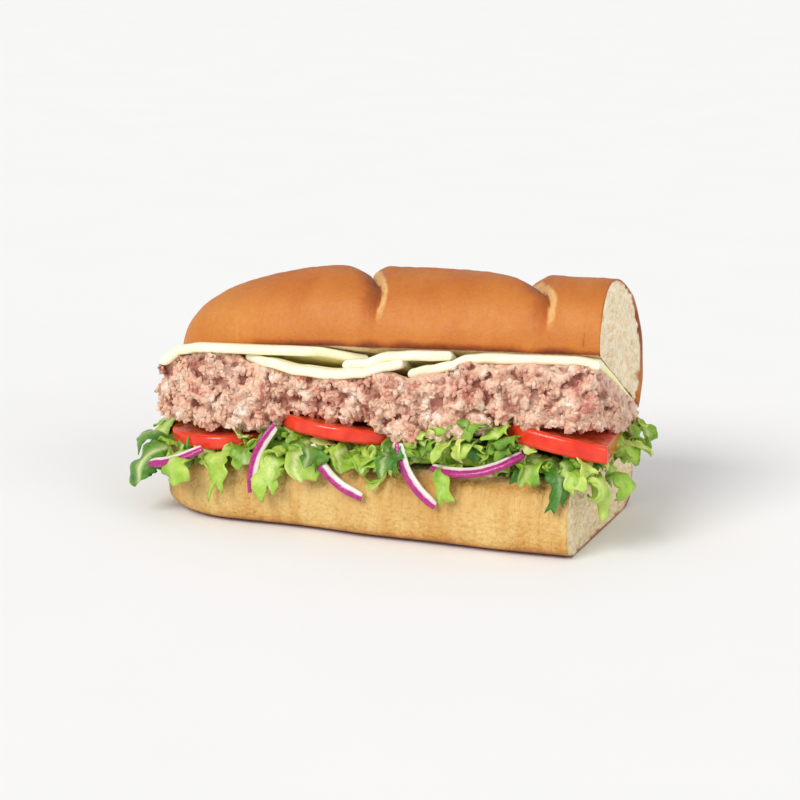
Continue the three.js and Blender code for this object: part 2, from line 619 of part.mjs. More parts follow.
function lettuceShreds() {
  const draw = seeded(7);
  const plain = (at, aim, reach, drop, width, lift = 1) => ({
    at, aim, reach, drop, width,
    bend: 0.8 + 0.35 * draw(), lift: lift * (1 + 2.2 * draw()),
    twist: (draw() - 0.5) * 1.8, turn: (draw() - 0.5) * 0.9, cup: 1.6 * (draw() - 0.4),
    ruffle: 1.4 + 1.2 * draw(), waves: 5 + 5 * draw(), phase: 6.28 * draw(),
  });
  const leaves = LONG_SHREDS.map(([x, y, z, aim, reach, drop, width]) =>
    plain([x, y, z], radians(aim), reach, drop, width));
  const between = 9;
  for (let i = 0; i < between; i++) {
    const x = lerp(-70, 76, (i + 0.3 + 0.4 * draw()) / between);
    const z = lerp(bottomTop(x) + 2, tunaFloor(x, -34) - 1.5, 0.3 + 0.6 * draw());
    const aim = radians(270 + 70 * (draw() - 0.5));
    leaves.push(plain([x, -34, z], aim, 6 + 4 * draw(), 2 + 7 * draw(), 7 + 4 * draw()));
  }
  const behind = 6;
  for (let i = 0; i < behind; i++) {
    const x = lerp(-68, 76, (i + 0.2 + 0.6 * draw()) / behind);
    const aim = radians(90 + 60 * (draw() - 0.5));
    const at = [x, 32, bottomTop(x) + 1.4];
    leaves.push(plain(at, aim, 7 + 4 * draw(), 3 + 8 * draw(), 7 + 3.5 * draw(), 0.3));
  }
  return leaves.map(shred);
}

const loose = joined(lettuceShreds()).subtract(tunaHeap(GAP)).subtract(solidOf(bottomHalf(GAP)));
let lettuceSolid = lettuceBed(0).add(loose);
for (const slice of TOMATOES) lettuceSolid = lettuceSolid.subtract(tomatoSolid(slice, GAP, false));
for (const strip of ONIONS) lettuceSolid = lettuceSolid.subtract(onionSolid(strip, GAP));
add(design, 'lettuce', geometryOf(largestPiece(lettuceSolid)), lettuce);

// The origin is under the middle of the whole sandwich.
root.updateMatrixWorld(true);
const box = new THREE.Box3().setFromObject(design, true);
const centre = box.getCenter(new THREE.Vector3());
design.position.set(-centre.x, -centre.y, -box.min.z);

export default root;
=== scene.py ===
# A six-inch tuna submarine sandwich, put together as it is made: the bottom half of the roll, shredded
# lettuce, red onion, tomato, tuna salad, sliced white cheese and the top half of the roll.
# Sizes are millimetres on the sandwich's own drawing: +X runs to the cut end, the open side faces -Y, +Z is
# up. Each piece is then put, in metres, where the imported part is.
import math
import bmesh
import bpy
import numpy as np
from mathutils import Matrix, Vector
from mathutils.kdtree import KDTree


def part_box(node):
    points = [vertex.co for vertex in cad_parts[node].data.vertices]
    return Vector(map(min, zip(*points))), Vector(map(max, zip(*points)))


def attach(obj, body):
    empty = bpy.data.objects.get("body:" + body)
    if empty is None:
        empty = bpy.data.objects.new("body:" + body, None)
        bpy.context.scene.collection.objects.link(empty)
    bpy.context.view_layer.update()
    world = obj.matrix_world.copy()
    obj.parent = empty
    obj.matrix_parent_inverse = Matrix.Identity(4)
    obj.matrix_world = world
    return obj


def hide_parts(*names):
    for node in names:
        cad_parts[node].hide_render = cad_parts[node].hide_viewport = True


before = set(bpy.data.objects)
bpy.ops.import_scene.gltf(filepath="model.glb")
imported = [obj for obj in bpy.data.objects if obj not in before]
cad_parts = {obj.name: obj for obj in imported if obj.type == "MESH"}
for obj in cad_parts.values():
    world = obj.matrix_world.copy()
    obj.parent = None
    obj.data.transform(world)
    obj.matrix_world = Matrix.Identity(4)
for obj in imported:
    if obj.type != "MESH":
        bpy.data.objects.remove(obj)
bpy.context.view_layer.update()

MM = 0.001


# Bottom half of the roll. A soft white roll baked pale on a tray, so that its floor is flat and browner,
# then sliced open and cut straight across. The crust is thin and finely wrinkled, the crumb open.
ROLL_LEFT = -80
ROLL_CUT = 75
ROLL_MIDDLE = -2
ROLL_HALF_WIDTH = 38
BOTTOM_HEIGHT = 26
BOTTOM_SLOPE = 3.5
BOTTOM_ROUND_END = 34
BOTTOM_TIP = 13
CRUST_THICKNESS = 1.1
OUTLINE_POINTS = 260

roll_low, roll_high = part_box("bread_bottom")
DRAWING = np.array((roll_high.x - ROLL_CUT * MM, (roll_low.y + roll_high.y) / 2 - ROLL_MIDDLE * MM, 0))


def plug(node, sockets):
    """Links a node's sockets to what feeds them, or sets them to a value."""
    for key, value in sockets:
        if isinstance(value, (Wire, bpy.types.NodeSocket)):
            node.id_data.links.new(getattr(value, "socket", value), node.inputs[key])
        else:
            node.inputs[key].default_value = value


class Wire:
    """A shader socket that does its sums in Math nodes."""

    def __init__(self, socket):
        self.socket = socket

    def math(self, operation, *others):
        node = self.socket.id_data.nodes.new("ShaderNodeMath")
        node.operation = operation
        plug(node, enumerate((self, *others)))
        return Wire(node.outputs[0])

    def __add__(self, other):
        return self.math("ADD", other)

    def __sub__(self, other):
        return self.math("SUBTRACT", other)

    def __mul__(self, other):
        return self.math("MULTIPLY", other)

    def between(self, low, high):
        """0 below low, 1 above high, and a straight rise between."""
        return ((self - low) * (1 / (high - low))).math("MAXIMUM", 0).math("MINIMUM", 1)


class Finish:
    """A food's surface: one Principled shader and the nodes that vary it."""

    def __init__(self, name, roughness, shine, coat=0):
        self.material = bpy.data.materials.new(name)
        self.material.use_nodes = True
        self.tree = self.material.node_tree
        self.shader = self.tree.nodes["Principled BSDF"]
        plug(self.shader, (("Roughness", roughness), ("Specular IOR Level", shine), ("Coat Weight", coat)))

    def glow(self, weight, colours, depth):
        """Light that sinks in: how much, how far in red, green and blue, and in what scale."""
        plug(self.shader, (("Subsurface Weight", weight), ("Subsurface Radius", colours),
                           ("Subsurface Scale", depth * MM)))

    def node(self, kind, output, **sockets):
        """Any node: its type, the output that is used, and its sockets' values or links."""
        node = self.tree.nodes.new("ShaderNode" + kind)
        plug(node, sockets.items())
        return Wire(node.outputs[output])

    def grain(self, size, stretch=(1, 1, 1), detail=2):
        """Noise from 0 to 1 in grains of about size millimetres, longer where stretch is small."""
        spot = self.node("Mapping", "Vector", Vector=self.node("TexCoord", "Object"), Scale=stretch)
        return self.node("TexNoise", "Fac", Vector=spot, Scale=1 / (size * MM), Detail=detail)

    def mark(self, name):
        """A value that the mesh carries at its points."""
        wire = self.node("Attribute", "Fac")
        wire.socket.node.attribute_name = name
        return wire

    def blend(self, share, first, second):
        """The first colour where share is 0 and the second where it is 1."""
        node = self.tree.nodes.new("ShaderNodeMix")
        node.data_type = "RGBA"
        first, second = (c if isinstance(c, Wire) else (*eye(*c), 1) for c in (first, second))
        plug(node, ((0, share), (6, first), (7, second)))
        return Wire(node.outputs[2])

    def vary(self, socket, wire):
        plug(self.shader, [(socket, wire)])

    def paint(self, wire):
        self.vary("Base Color", wire)

    def relief(self, height, depth):
        """Bumps up to depth millimetres high."""
        self.vary("Normal", self.node("Bump", "Normal", Height=height, Distance=depth * MM, Strength=1.0))


def eye(*colour):
    """A colour as the eye reads it, 0 to 255, in the shader's own measure."""
    return tuple(c / 255 / 12.92 if c <= 10 else ((c / 255 + 0.055) / 1.055) ** 2.4 for c in colour)


def eased(value, low, high):
    share = np.clip((value - low) / (high - low), 0, 1)
    return share * share * (3 - 2 * share)


def noise(points, size, seed=0):
    """Smooth noise from -1 to 1 at each point, with bumps about size millimetres across."""
    place = points / size + 31.7 * seed
    cell = np.floor(place).astype(np.int64)
    share = place - cell
    share = share * share * (3 - 2 * share)
    total = np.zeros(len(points))
    for corner in np.ndindex(2, 2, 2):
        draw = ((cell + corner) * (73856093, 19349663, 83492791)).sum(1) & 0xFFFFFFFF
        draw = ((draw ^ (draw >> 15)) * 2246822519) & 0xFFFFFFFF
        draw = ((draw ^ (draw >> 13)) * 3266489917) & 0xFFFFFFFF
        value = ((draw >> 8) & 0xFFFF) / 32767.5 - 1
        total += value * np.prod(np.where(corner, share, 1 - share), axis=1)
    return total


def grid_faces(rows, columns, closed):
    """Quads over rows of points, where closed joins each row's end to its start."""
    row = np.arange(rows - 1)[:, None] * columns
    step = np.arange(columns if closed else columns - 1)[None, :]
    ahead = (step + 1) % columns
    return np.stack([row + step, row + ahead, row + columns + ahead, row + columns + step], -1).reshape(-1, 4)


def unit(ways):
    """The same directions with a length of one."""
    return ways / np.maximum(np.linalg.norm(ways, axis=-1, keepdims=True), 1e-9)


def squarish(value, power):
    """A sine or cosine that draws a boxier outline than a circle."""
    return np.sign(value) * np.abs(value) ** power


def point_normals(points, quads):
    normals = np.zeros_like(points)
    across = np.cross(points[quads[:, 2]] - points[quads[:, 0]], points[quads[:, 3]] - points[quads[:, 1]])
    for corner in range(4):
        np.add.at(normals, quads[:, corner], across)
    return unit(normals)


def give(mesh, name, values):
    """Stores a value at each point of a mesh."""
    mesh.attributes.new(name, "FLOAT", "POINT").data.foreach_set("value", np.asarray(values, np.float32))


def welded(mesh, gap):
    """The same mesh with points closer than gap joined and its faces turned outward."""
    work = bmesh.new()
    work.from_mesh(mesh)
    bmesh.ops.remove_doubles(work, verts=work.verts, dist=gap)
    bmesh.ops.recalc_face_normals(work, faces=work.faces)
    work.to_mesh(mesh)
    work.free()
    return mesh


def placed(name, data):
    """A new object in the scene."""
    thing = bpy.data.objects.new(name, data)
    bpy.context.scene.collection.objects.link(thing)
    return thing


def as_piece(name, points, faces, finish, marks):
    """A closed mesh object from points in drawing millimetres, with the values that it carries."""
    mesh = bpy.data.meshes.new(name)
    mesh.from_pydata(np.asarray(points) * MM + DRAWING, [], [tuple(f) for f in faces])
    for mark, values in marks.items():
        give(mesh, mark, values)
    welded(mesh, 1e-7).shade_smooth()
    mesh.materials.append(finish.material)
    piece = placed(name, mesh)
    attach(piece, "root")
    return piece


def curve_through(knots, steps):
    """A smooth line through knots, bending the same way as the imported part's own outline."""
    ends = np.vstack([knots[:1], knots, knots[-1:]])
    where = (len(knots) - 1) * np.arange(steps + 1) / steps
    k = np.minimum(where.astype(int), len(knots) - 2)
    t = (where - k)[:, None]
    p0, p1, p2, p3 = (ends[k + i] for i in range(4))
    v0, v1 = (p2 - p0) / 2, (p3 - p1) / 2
    bend = (2 * p1 - 2 * p2 + v0 + v1) * t ** 3 + (3 * p2 - 3 * p1 + -2 * v0 - v1) * t ** 2
    return bend + v0 * t + p1


def evenly(outline, count):
    """The same closed outline with count points at even spacing."""
    loop = np.vstack([outline, outline[:1]])
    run = np.r_[0, np.cumsum(np.linalg.norm(np.diff(loop, axis=0), axis=1))]
    where = np.linspace(0, run[-1], count, endpoint=False)
    return np.column_stack([np.interp(where, run, loop[:, k]) for k in range(2)])


def end_share(distance, round_end):
    """Share of the full section left at a distance from the roll's round tip."""
    run = np.clip(1 - distance / round_end, 0, 1)
    return np.maximum(0.03, (1 - run ** 2.3) ** (1 / 2.3))


def places_along(length, round_end, step):
    """Places along the roll, closer together towards its round tip."""
    tip = round_end * (1 - np.cos(np.linspace(0, np.pi / 2, int(round_end / step) + 6)[:-1]))
    return np.r_[tip, np.linspace(round_end, length, int((length - round_end) / step))]


def crumb_pits(points, rim_distance, seed):
    """How deep the open crumb lies under a knife-cut face, with bubbles of a few sizes."""
    big = np.maximum(0, noise(points, 3.6, seed) - 0.2) * 3.2
    small = np.maximum(0, noise(points, 1.7, seed + 1) - 0.1) * 1.6
    fine = 0.12 * noise(points, 0.8, seed + 2)
    return (0.35 + big + small + fine) * eased(rim_distance, 0.3, 1.6)


def end_fans(count, around):
    """Triangles over both open ends of a tube of count points, round two more points that follow them."""
    ring = [(i, (i + 1) % around) for i in range(around)]
    last = count - around
    return [(count, b, a) for a, b in ring] + [(count + 1, last + a, last + b) for a, b in ring]


def baked_half(sections, cap_rows):
    """A half roll's points, quads and end triangles from its sections, with a knife-cut end, and how far
    inside the crust each point of that end lies."""
    sections = np.array(sections)
    rows, around = sections.shape[:2]
    end = sections[-1]
    heart = end.mean(0)
    steps = np.linspace(0, 1, cap_rows + 1)[1:]
    inner = np.array([end + (heart - end) * (step * 0.97) for step in steps])
    inset = np.concatenate([np.zeros((rows, around)), np.linalg.norm(inner - end, axis=2)])
    points = np.concatenate([sections, inner]).reshape(-1, 3)
    faces = grid_faces(rows + cap_rows, around, True)
    fans = end_fans(len(points), around)
    points = np.vstack([points, sections[0].mean(0), heart])
    return points, faces, fans, np.r_[inset.ravel(), 0, inset.max()]


def bottom_top(x):
    """Height of the bottom half's cut face."""
    return BOTTOM_HEIGHT - BOTTOM_SLOPE * np.clip((ROLL_CUT - x) / (ROLL_CUT - ROLL_LEFT), 0, 1)


side = curve_through([(0.79, 0), (0.95, 0.09), (1, 0.32), (1, 0.58), (0.94, 0.83), (0.82, 1)], 60)
whole = (ROLL_HALF_WIDTH, BOTTOM_HEIGHT)
outline = evenly(np.vstack([side, (side * (-1, 1))[::-1]]) * whole, OUTLINE_POINTS) / whole
sections = []
for distance in places_along(ROLL_CUT - ROLL_LEFT, BOTTOM_ROUND_END, 0.9):
    share = end_share(distance, BOTTOM_ROUND_END)
    x = ROLL_LEFT + distance
    high = BOTTOM_TIP + 6 + (bottom_top(x) - BOTTOM_TIP - 6) * share ** 0.8
    low = (BOTTOM_TIP - 4) * (1 - share ** 0.7)
    sway = 0.7 * math.sin(x * 0.055) + 0.4 * math.sin(x * 0.13 + 1)
    across = ROLL_MIDDLE + outline[:, 0] * (ROLL_HALF_WIDTH + sway) * share
    sections.append(np.column_stack([np.full(len(outline), x), across, low + (high - low) * outline[:, 1]]))
points, faces, fans, inset = baked_half(sections, 34)
out = point_normals(points, faces)
up = points[:, 2] / bottom_top(points[:, 0])
crust = eased(np.abs(out[:, 1]) + np.maximum(0, -out[:, 0]) + 0.5 * (up < 0.5), 0.15, 0.4) * (inset == 0)
folds = noise(points * (1, 0.25, 0.15), 6, 5) + 0.6 * noise(points * (1, 0.4, 0.3), 2.2, 6)
creases = np.abs(noise(points * (1, 0.3, 0.22), 3.4, 13))
swell = 0.5 * noise(points, 16, 4) + 0.3 * folds + 0.1 * noise(points, 1.6, 12) + 0.45 * creases
swell *= eased(up, 0.02, 0.25) * crust
cut_top = eased(out[:, 2], 0.7, 0.95) * (inset == 0) * eased(up, 0.8, 0.95)
pits = crumb_pits(points, inset, 7) + 0.5 * crumb_pits(points, 2 * cut_top, 9)
points = points + out * (swell - pits)[:, None]
points[:, 2] = np.maximum(points[:, 2], 0)
bake_and_shade = 0.35 * eased(up, 0.7, 1.0) + 1.1 * eased(-up, -0.16, 0.0) ** 1.5 + 0.2 * noise(points, 14, 11) + 0.2
# Its last term is painted shade: the crust darkens along the sunken creases.
bake_and_shade += 0.3 * eased(-points[:, 0], 50, 78) + 0.15 * folds + 0.35 * (0.3 - creases)
bake_and_shade += 0.4 * eased(-up, -0.3, -0.02)
crumb = np.maximum(eased(inset, 0.5, CRUST_THICKNESS), cut_top)

f = crust_finish = Finish("pale_crust", 0.55, 0.35)
f.glow(0.12, (1.0, 0.5, 0.25), 2)
pores = f.grain(1.5, detail=4)
wrinkle = f.grain(1.3, (1, 0.25, 0.2), 4)
tone = f.mark("bake_and_shade") + (wrinkle - 0.5) * 0.35 + (pores - 0.5) * 0.5
skin = f.blend(tone.between(0, 0.55), (228, 192, 122), (210, 158, 82))
skin = f.blend(tone.between(0.5, 1.3), skin, (160, 84, 32))
inside = f.blend(f.grain(1.8, detail=4).between(0.3, 0.64), (232, 200, 150), (252, 236, 200))
f.paint(f.blend(f.mark("crumb"), skin, inside))
f.relief(wrinkle * 0.5 + pores * 0.5, 2.6)
bread_bottom = as_piece("roll_bottom", points, [*faces.tolist(), *fans], crust_finish,
                        {"bake_and_shade": bake_and_shade, "crumb": crumb})
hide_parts("bread_bottom")


# Lettuce. Iceberg lettuce shredded by machine into strips about ten millimetres wide and heaped on the
# bread, so that their ends hang over its edges. The leaf is thin, lets light through and has paler ribs.
LEAF_THICKNESS = 0.45
LEAF_ALONG = 22
LEAF_ACROSS = 9
LEAF_SWAY = 2
BED_LEFT = -75
BED_RIGHT = 79
BED_HALF_WIDTH = 33
BED_RING = 150
# Height of the heap's front edge by place along the roll.
BED_FRONT = ((-76, 24.6), (-50, 25), (-34, 31), (-25, 31), (-12, 29), (6, 29), (20, 33), (34, 36), (48, 33),
             (84, 29))


def along(stations, place):
    """A value that eases from each station to the next."""
    xs, values = np.array(stations).T
    k = np.clip(np.searchsorted(xs, place) - 1, 0, len(xs) - 2)
    share = eased(place, xs[k], xs[k + 1])
    return values[k] + (values[k + 1] - values[k]) * share


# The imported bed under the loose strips: low and soft-edged, with its ends drawn in.
turn = np.linspace(0, 2 * np.pi, BED_RING, endpoint=False)
across = squarish(np.cos(turn), 0.55)
lift = squarish(np.sin(turn), 0.6)
rows = []
for x in np.arange(BED_LEFT, BED_RIGHT + 0.1, 1.1):
    end = 1 - 0.45 * (1 - eased(min(x - BED_LEFT, BED_RIGHT - x), 0, 20))
    y = ROLL_MIDDLE + across * BED_HALF_WIDTH * end
    base = bottom_top(x) + 0.4
    crown = base + 1.6 + (along(BED_FRONT, x) - base - 1.6) * eased(-y, -20, 30)
    height = np.maximum(crown, base + 1) - base
    rows.append(np.column_stack([np.full(BED_RING, x), y, base + height * (lift + 1) / 2]))
points = np.array(rows).reshape(-1, 3)
faces = grid_faces(len(rows), BED_RING, True)
crumple = np.abs(noise(points, 4.5, 21)) - 0.35 + 0.5 * np.abs(noise(points, 2.2, 22))
crumple = 1.1 * crumple * eased(points[:, 2], 23, 25)
points = points + point_normals(points, faces) * crumple[:, None]
faces = [*faces.tolist(), *end_fans(len(points), BED_RING)]
points = np.vstack([points, rows[0].mean(0), rows[-1].mean(0)])

f = lettuce_finish = Finish("shredded_lettuce", 0.38, 0.45)
f.glow(0.25, (0.7, 1.0, 0.25), 1.2)
mottle = f.grain(3.2, detail=3)
green = f.mark("green") + (mottle - 0.5) * 0.7
leaf = f.blend(green.between(0.0, 0.5), (212, 224, 126), (156, 192, 62))
leaf = f.blend(green.between(0.5, 1.1), leaf, (60, 118, 30))
f.paint(f.blend(f.mark("rib"), leaf, (226, 232, 168)))
f.relief(f.grain(1.4, detail=3), 0.5)
# Painted shade: the bed under the strips is a darker green, as the heap's shaded depths.
as_piece("lettuce_bed", points, faces, lettuce_finish,
         {"green": 0.75 + 0.3 * noise(points, 6, 23), "rib": np.zeros(len(points))})


def hanging_line(start, heading, reach, drop, lift):
    """The middle line of a strip that leaves the heap and falls over the edge of the bread."""
    t = np.linspace(0, 1, LEAF_ALONG)
    ahead = np.array((math.cos(heading), math.sin(heading), 0))
    beside = np.array((-ahead[1], ahead[0], 0))
    side_step = LEAF_SWAY * np.sin(t * spread(2, 5) + spread(0, 6)) * t
    out = reach * np.sin(t * np.pi / 2)
    rise = lift * np.sin(t * np.pi * 0.8) - drop * t ** 1.7
    return start + np.outer(out, ahead) + np.outer(side_step, beside) + np.outer(rise, (0, 0, 1))


def curling_line(start, heading, length, pitch):
    """The middle line of a strip that bends evenly from its first pitch to its last, as a curl does."""
    t = np.linspace(0, 1, LEAF_ALONG)
    lean = np.radians(pitch[0] + (pitch[1] - pitch[0]) * t)
    turn = heading + spread(-0.6, 0.6) * t
    steps = np.column_stack([np.cos(lean) * np.cos(turn), np.cos(lean) * np.sin(turn), np.sin(lean)])
    gone = np.vstack([(0, 0, 0), np.cumsum(steps[:-1], axis=0)])
    return start + gone * length / (LEAF_ALONG - 1)


def leaf_strip(line, width, twist, cup, ruffle):
    """The points of both faces of a strip round its middle line, cupped, twisted and frilled, with torn
    ends, and how close each lies to its rib."""
    across = np.linspace(-1, 1, LEAF_ACROSS)
    t = np.linspace(0, 1, LEAF_ALONG)[:, None]
    torn = np.interp(across, np.linspace(-1, 1, 5), spread(0, 0.26, 5))
    where = t * (1 - torn) * (LEAF_ALONG - 1)
    k = np.minimum(where.astype(int), LEAF_ALONG - 2)
    share = (where - k)[..., None]
    middle = line[k] * (1 - share) + line[k + 1] * share
    ahead = unit(np.gradient(line, axis=0))
    heading = unit(np.cross((0, 0, 1.0), ahead[0]))
    level = unit(heading - ahead * (ahead @ heading)[:, None])
    up = np.cross(ahead, level)
    roll = np.radians(twist[0] + (twist[1] - twist[0]) * t)
    cosine, sine = np.cos(roll)[..., None], np.sin(roll)[..., None]
    side = level[k] * cosine + up[k] * sine
    face = up[k] * cosine - level[k] * sine
    wobble = 1 + 0.22 * np.sin(t * spread(4, 11) + spread(0, 6)) * np.sign(across)
    wobble = wobble + 0.16 * np.sin(t * spread(16, 26) + 2 * np.sign(across))
    half = width / 2 * wobble * (1 - 0.45 * eased(t, 0.75, 1) * spread(0, 1))
    beat = np.sin(t * spread(7, 14) + 2.2 * np.sign(across) + spread(0, 6))
    height = cup * width * (across ** 2 - 0.35) + ruffle * np.abs(across) ** 1.6 * beat
    points = middle + side * (across * half)[..., None] + face * height[..., None]
    crinkle = 0.5 * noise(points.reshape(-1, 3), 2.8, 24) + 0.3 * noise(points.reshape(-1, 3), 1.4, 26)
    points = points + face * crinkle.reshape(height.shape)[..., None]
    rib_place = spread(-0.5, 0.5)
    rib = np.exp(-((across - rib_place) / 0.16) ** 2) * spread(0, 0.9) + 0 * t
    thick = LEAF_THICKNESS / 2 * (0.55 + 1.2 * rib + 0.45 * (1 - across ** 4))
    quads = grid_faces(LEAF_ALONG, LEAF_ACROSS, False)
    out = point_normals(points.reshape(-1, 3), quads).reshape(points.shape) * thick[..., None]
    return np.stack([points + out, points - out]), np.stack([rib, rib])


def strip_faces():
    """Quads of one strip: its upper face, its lower face turned over, and the edge all round."""
    top = grid_faces(LEAF_ALONG, LEAF_ACROSS, False)
    low = top[:, ::-1] + LEAF_ALONG * LEAF_ACROSS
    index = np.arange(LEAF_ALONG * LEAF_ACROSS).reshape(LEAF_ALONG, LEAF_ACROSS)
    rim = np.concatenate([index[0, :], index[1:, -1], index[-1, -2::-1], index[-2:0:-1, 0]])
    ahead = np.roll(rim, -1)
    edge = np.stack([ahead, rim, rim + index.size, ahead + index.size], -1)
    return np.vstack([top, low, edge])


# The strips that hang lowest, then the leaves that stand highest, in front of the right-hand tomato: start,
# heading in degrees, reach, drop and width.
LONG_SHREDS = (
    (-72, -24, 25, 200, 14, 6, 12), (-72, -10, 27, 176, 14, 5, 11), (-74, 8, 33, 168, 10, -6, 9),
    (-70, -32, 22, 238, 13, 12, 11), (-62, -36, 23, 262, 11, 11, 12), (-47, -35, 25, 268, 10, 18, 9),
    (-38, -34, 27, 262, 9, 8, 8), (-30, -35, 26, 272, 10, 17, 11), (-15, -35, 29, 275, 9, 12, 12),
    (-2, -35, 28, 280, 9, 8, 9), (8, -35, 28, 265, 9, 6, 8), (20, -35, 31, 265, 6, 3, 8),
    (33, -35, 28, 275, 10, 13, 5), (42, -35, 34, 268, 5, 0, 9), (52, -34, 34, 275, 5, 2, 8),
    (61, -34, 30, 280, 8, 7, 8), (69, -33, 30, 285, 10, 17, 6), (74, -30, 30, 300, 12, 8, 7),
    (76, -24, 29, 318, 11, 21, 5), (76, -14, 30, 338, 9, 12, 7), (76, 0, 31, 352, 10, 9, 8),
    (76, 12, 30, 12, 9, 6, 8), (-14, -39, 31, 283, 8, 9, 8), (14, -39, 31, 280, 8, 9, 7),
    (28, -33, 37, 255, 7, 1, 8), (34, -33, 40, 250, 7, 2, 9), (39, -33, 42, 275, 7, 3, 9),
    (44, -34, 42, 262, 7, 4, 10), (49, -34, 41, 285, 7, 4, 9), (53, -35, 38, 275, 6, 2, 8))
# The curls that show as rings: start, heading, length, first and last pitch in degrees, and width.
CURLS = (
    (-48, -41, 19, 5, 30, -70, -410, 5), (-24, -41, 27, 170, 20, 40, -250, 5),
    (4, -41, 26, 10, 22, 60, -230, 5), (-3, -41, 24, 200, 18, 30, -260, 5),
    (30, -41, 31, -10, 20, 70, -220, 5), (36, -42, 27, 15, 24, 60, -280, 4.5),
    (45, -41, 36, 185, 22, 60, -240, 6), (58, -41, 31, 10, 18, 40, -250, 5),
    (64, -41, 29, 170, 20, 50, -230, 5), (-66, -40, 22, 20, 18, 40, -240, 6),
    (80, -34, 26, -20, 20, 60, -250, 6), (84, -20, 24, -40, 20, 60, -220, 6))
# The onion slices, which no strip lies over: the middle of the skin, the way that the arc runs, the way that
# the skin faces, and the arc's length.
ONIONS = (
    ((-63, -44, 20.8), (17, 1, 6), (0.1, -0.8, -0.6), 22),
    ((-35, -42.5, 26), (-5, -4, -17), (-0.9, -0.45, 0.15), 26),
    ((-7, -43.5, 20.5), (17, -2, -14), (-0.6, -0.35, -0.72), 27),
    ((21, -43.5, 23), (12, -3, -16), (-0.75, -0.4, -0.5), 26),
    ((45, -42.5, 27), (31, 3, 7), (0.1, -0.8, -0.6), 35),
    ((-24, 36, 27), (20, 1, -1), (0, 1, -0.05), 24),
    ((40, 38, 28), (18, -2, 0), (0, 1, -0.05), 27))
ONIONS_IN_FRONT = 5
SIDE_VIEW = np.array(((0.93, 0.367, 0), (0, 0, 1)))
draw = np.random.default_rng(17)
spread = draw.uniform
strips = []


def covers_onion(points):
    """True where a strip would hang in front of a slice of onion."""
    points = points.reshape(-1, 3)
    for middle, run, _, length in ONIONS[:ONIONS_IN_FRONT]:
        line = middle + np.outer(np.linspace(-0.5, 0.5, 9) * length, unit(run))
        apart = (points @ SIDE_VIEW.T)[:, None] - (line @ SIDE_VIEW.T)[None]
        if ((np.linalg.norm(apart, axis=2).min(1) < 3) & (points[:, 1] < middle[1] + 4)).any():
            return True
    return False


def hang_up(*strip):
    """Adds a strip to the heap unless it would hide an onion slice."""
    made = leaf_strip(*strip)
    if not covers_onion(made[0]):
        strips.append(made)


for *start, heading, reach, drop, width in LONG_SHREDS:
    line = hanging_line(start, math.radians(heading), reach, drop, 2)
    strips.append(leaf_strip(line, width, spread(-35, 35, 2), spread(-0.25, 0.3), 1.2))
for *start, heading, length, first, last, width in CURLS:
    line = curling_line(start, math.radians(heading), length, (first, last))
    hang_up(line, width, spread(-15, 15, 2), spread(-0.2, 0.2), 0.8)


def heap_edge(x, y, z, heading, many):
    """Shorter strips round one spot of the heap's edge: some fall, some curl."""
    for _ in range(many):
        start = (x + spread(-6, 6), y + spread(-1, 4), z + spread(-3, 3.5))
        turn = math.radians(heading + spread(-65, 65))
        if draw.random() < 0.55:
            line = hanging_line(start, turn, spread(4, 8), spread(0, 7), spread(0, 3))
        else:
            line = curling_line(start, turn, spread(9, 17), (spread(10, 60), spread(-190, -60)))
        twist = spread(-60, 60, 2)
        hang_up(line, spread(3.5, 7.5), twist, spread(-0.3, 0.35), spread(0.4, 1.4))


for x in np.arange(-68, 76, 5.0):
    heap_edge(x, -33, along(BED_FRONT, x) - 1, 270, 4)
for x in np.arange(12, 66, 5.0):
    heap_edge(x, -31, 33 + 3 * math.sin(x * 0.09), 270, 2)
for y in np.arange(-26, 26, 7.0):
    heap_edge(74, y, 29, 0, 4)
    heap_edge(-68, y, 25.5, 180, 3)
for x in np.arange(-62, 72, 9.0):
    heap_edge(x, 26, 26, 90, 3)
points = np.array([strip[0] for strip in strips])
size = points[0].size // 3
faces = (strip_faces()[None] + size * np.arange(len(strips))[:, None, None]).reshape(-1, 4)
green = np.repeat(np.clip(draw.normal(0.52, 0.32, len(strips)), 0, 1.1), size)
points = points.reshape(-1, 3)
points[:, 2] = np.maximum(points[:, 2], 0.3)
green = green + 0.25 * noise(points, 9, 25) + 0.25 * eased(points[:, 0], 52, 74)
lettuce = as_piece("lettuce_shreds", points, faces.tolist(), lettuce_finish,
                   {"green": green, "rib": np.concatenate([strip[1].ravel() for strip in strips])})
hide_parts("lettuce")


# Red onion. Thin slices of single layers: each is a short arc with the purple skin along one edge and
# white, almost clear flesh behind it. They lie in the lettuce and poke out over the bread.
ONION_SLICE = 2.1
ONION_LAYER = 3.5
ONION_RADIUS = 27
ONION_RING = 36

f = onion_finish = Finish("red_onion", 0.22, 0.5, coat=0.15)
f.glow(0.5, (1.2, 0.9, 1.0), 2.5)
depth = f.mark("depth")
streak = (f.mark("along") * 7).math("SINE") * 0.1 + f.grain(1.1, detail=3)
skin = f.blend(streak.between(0.3, 0.75), (186, 50, 134), (146, 24, 100))
flesh = f.blend((depth + (f.grain(2.2) - 0.5) * 0.2).between(0.46, 0.6), skin, (236, 208, 216))
f.paint(f.blend(depth.between(0.6, 0.95), flesh, (240, 238, 222)))
f.relief(f.grain(0.8), 0.12)

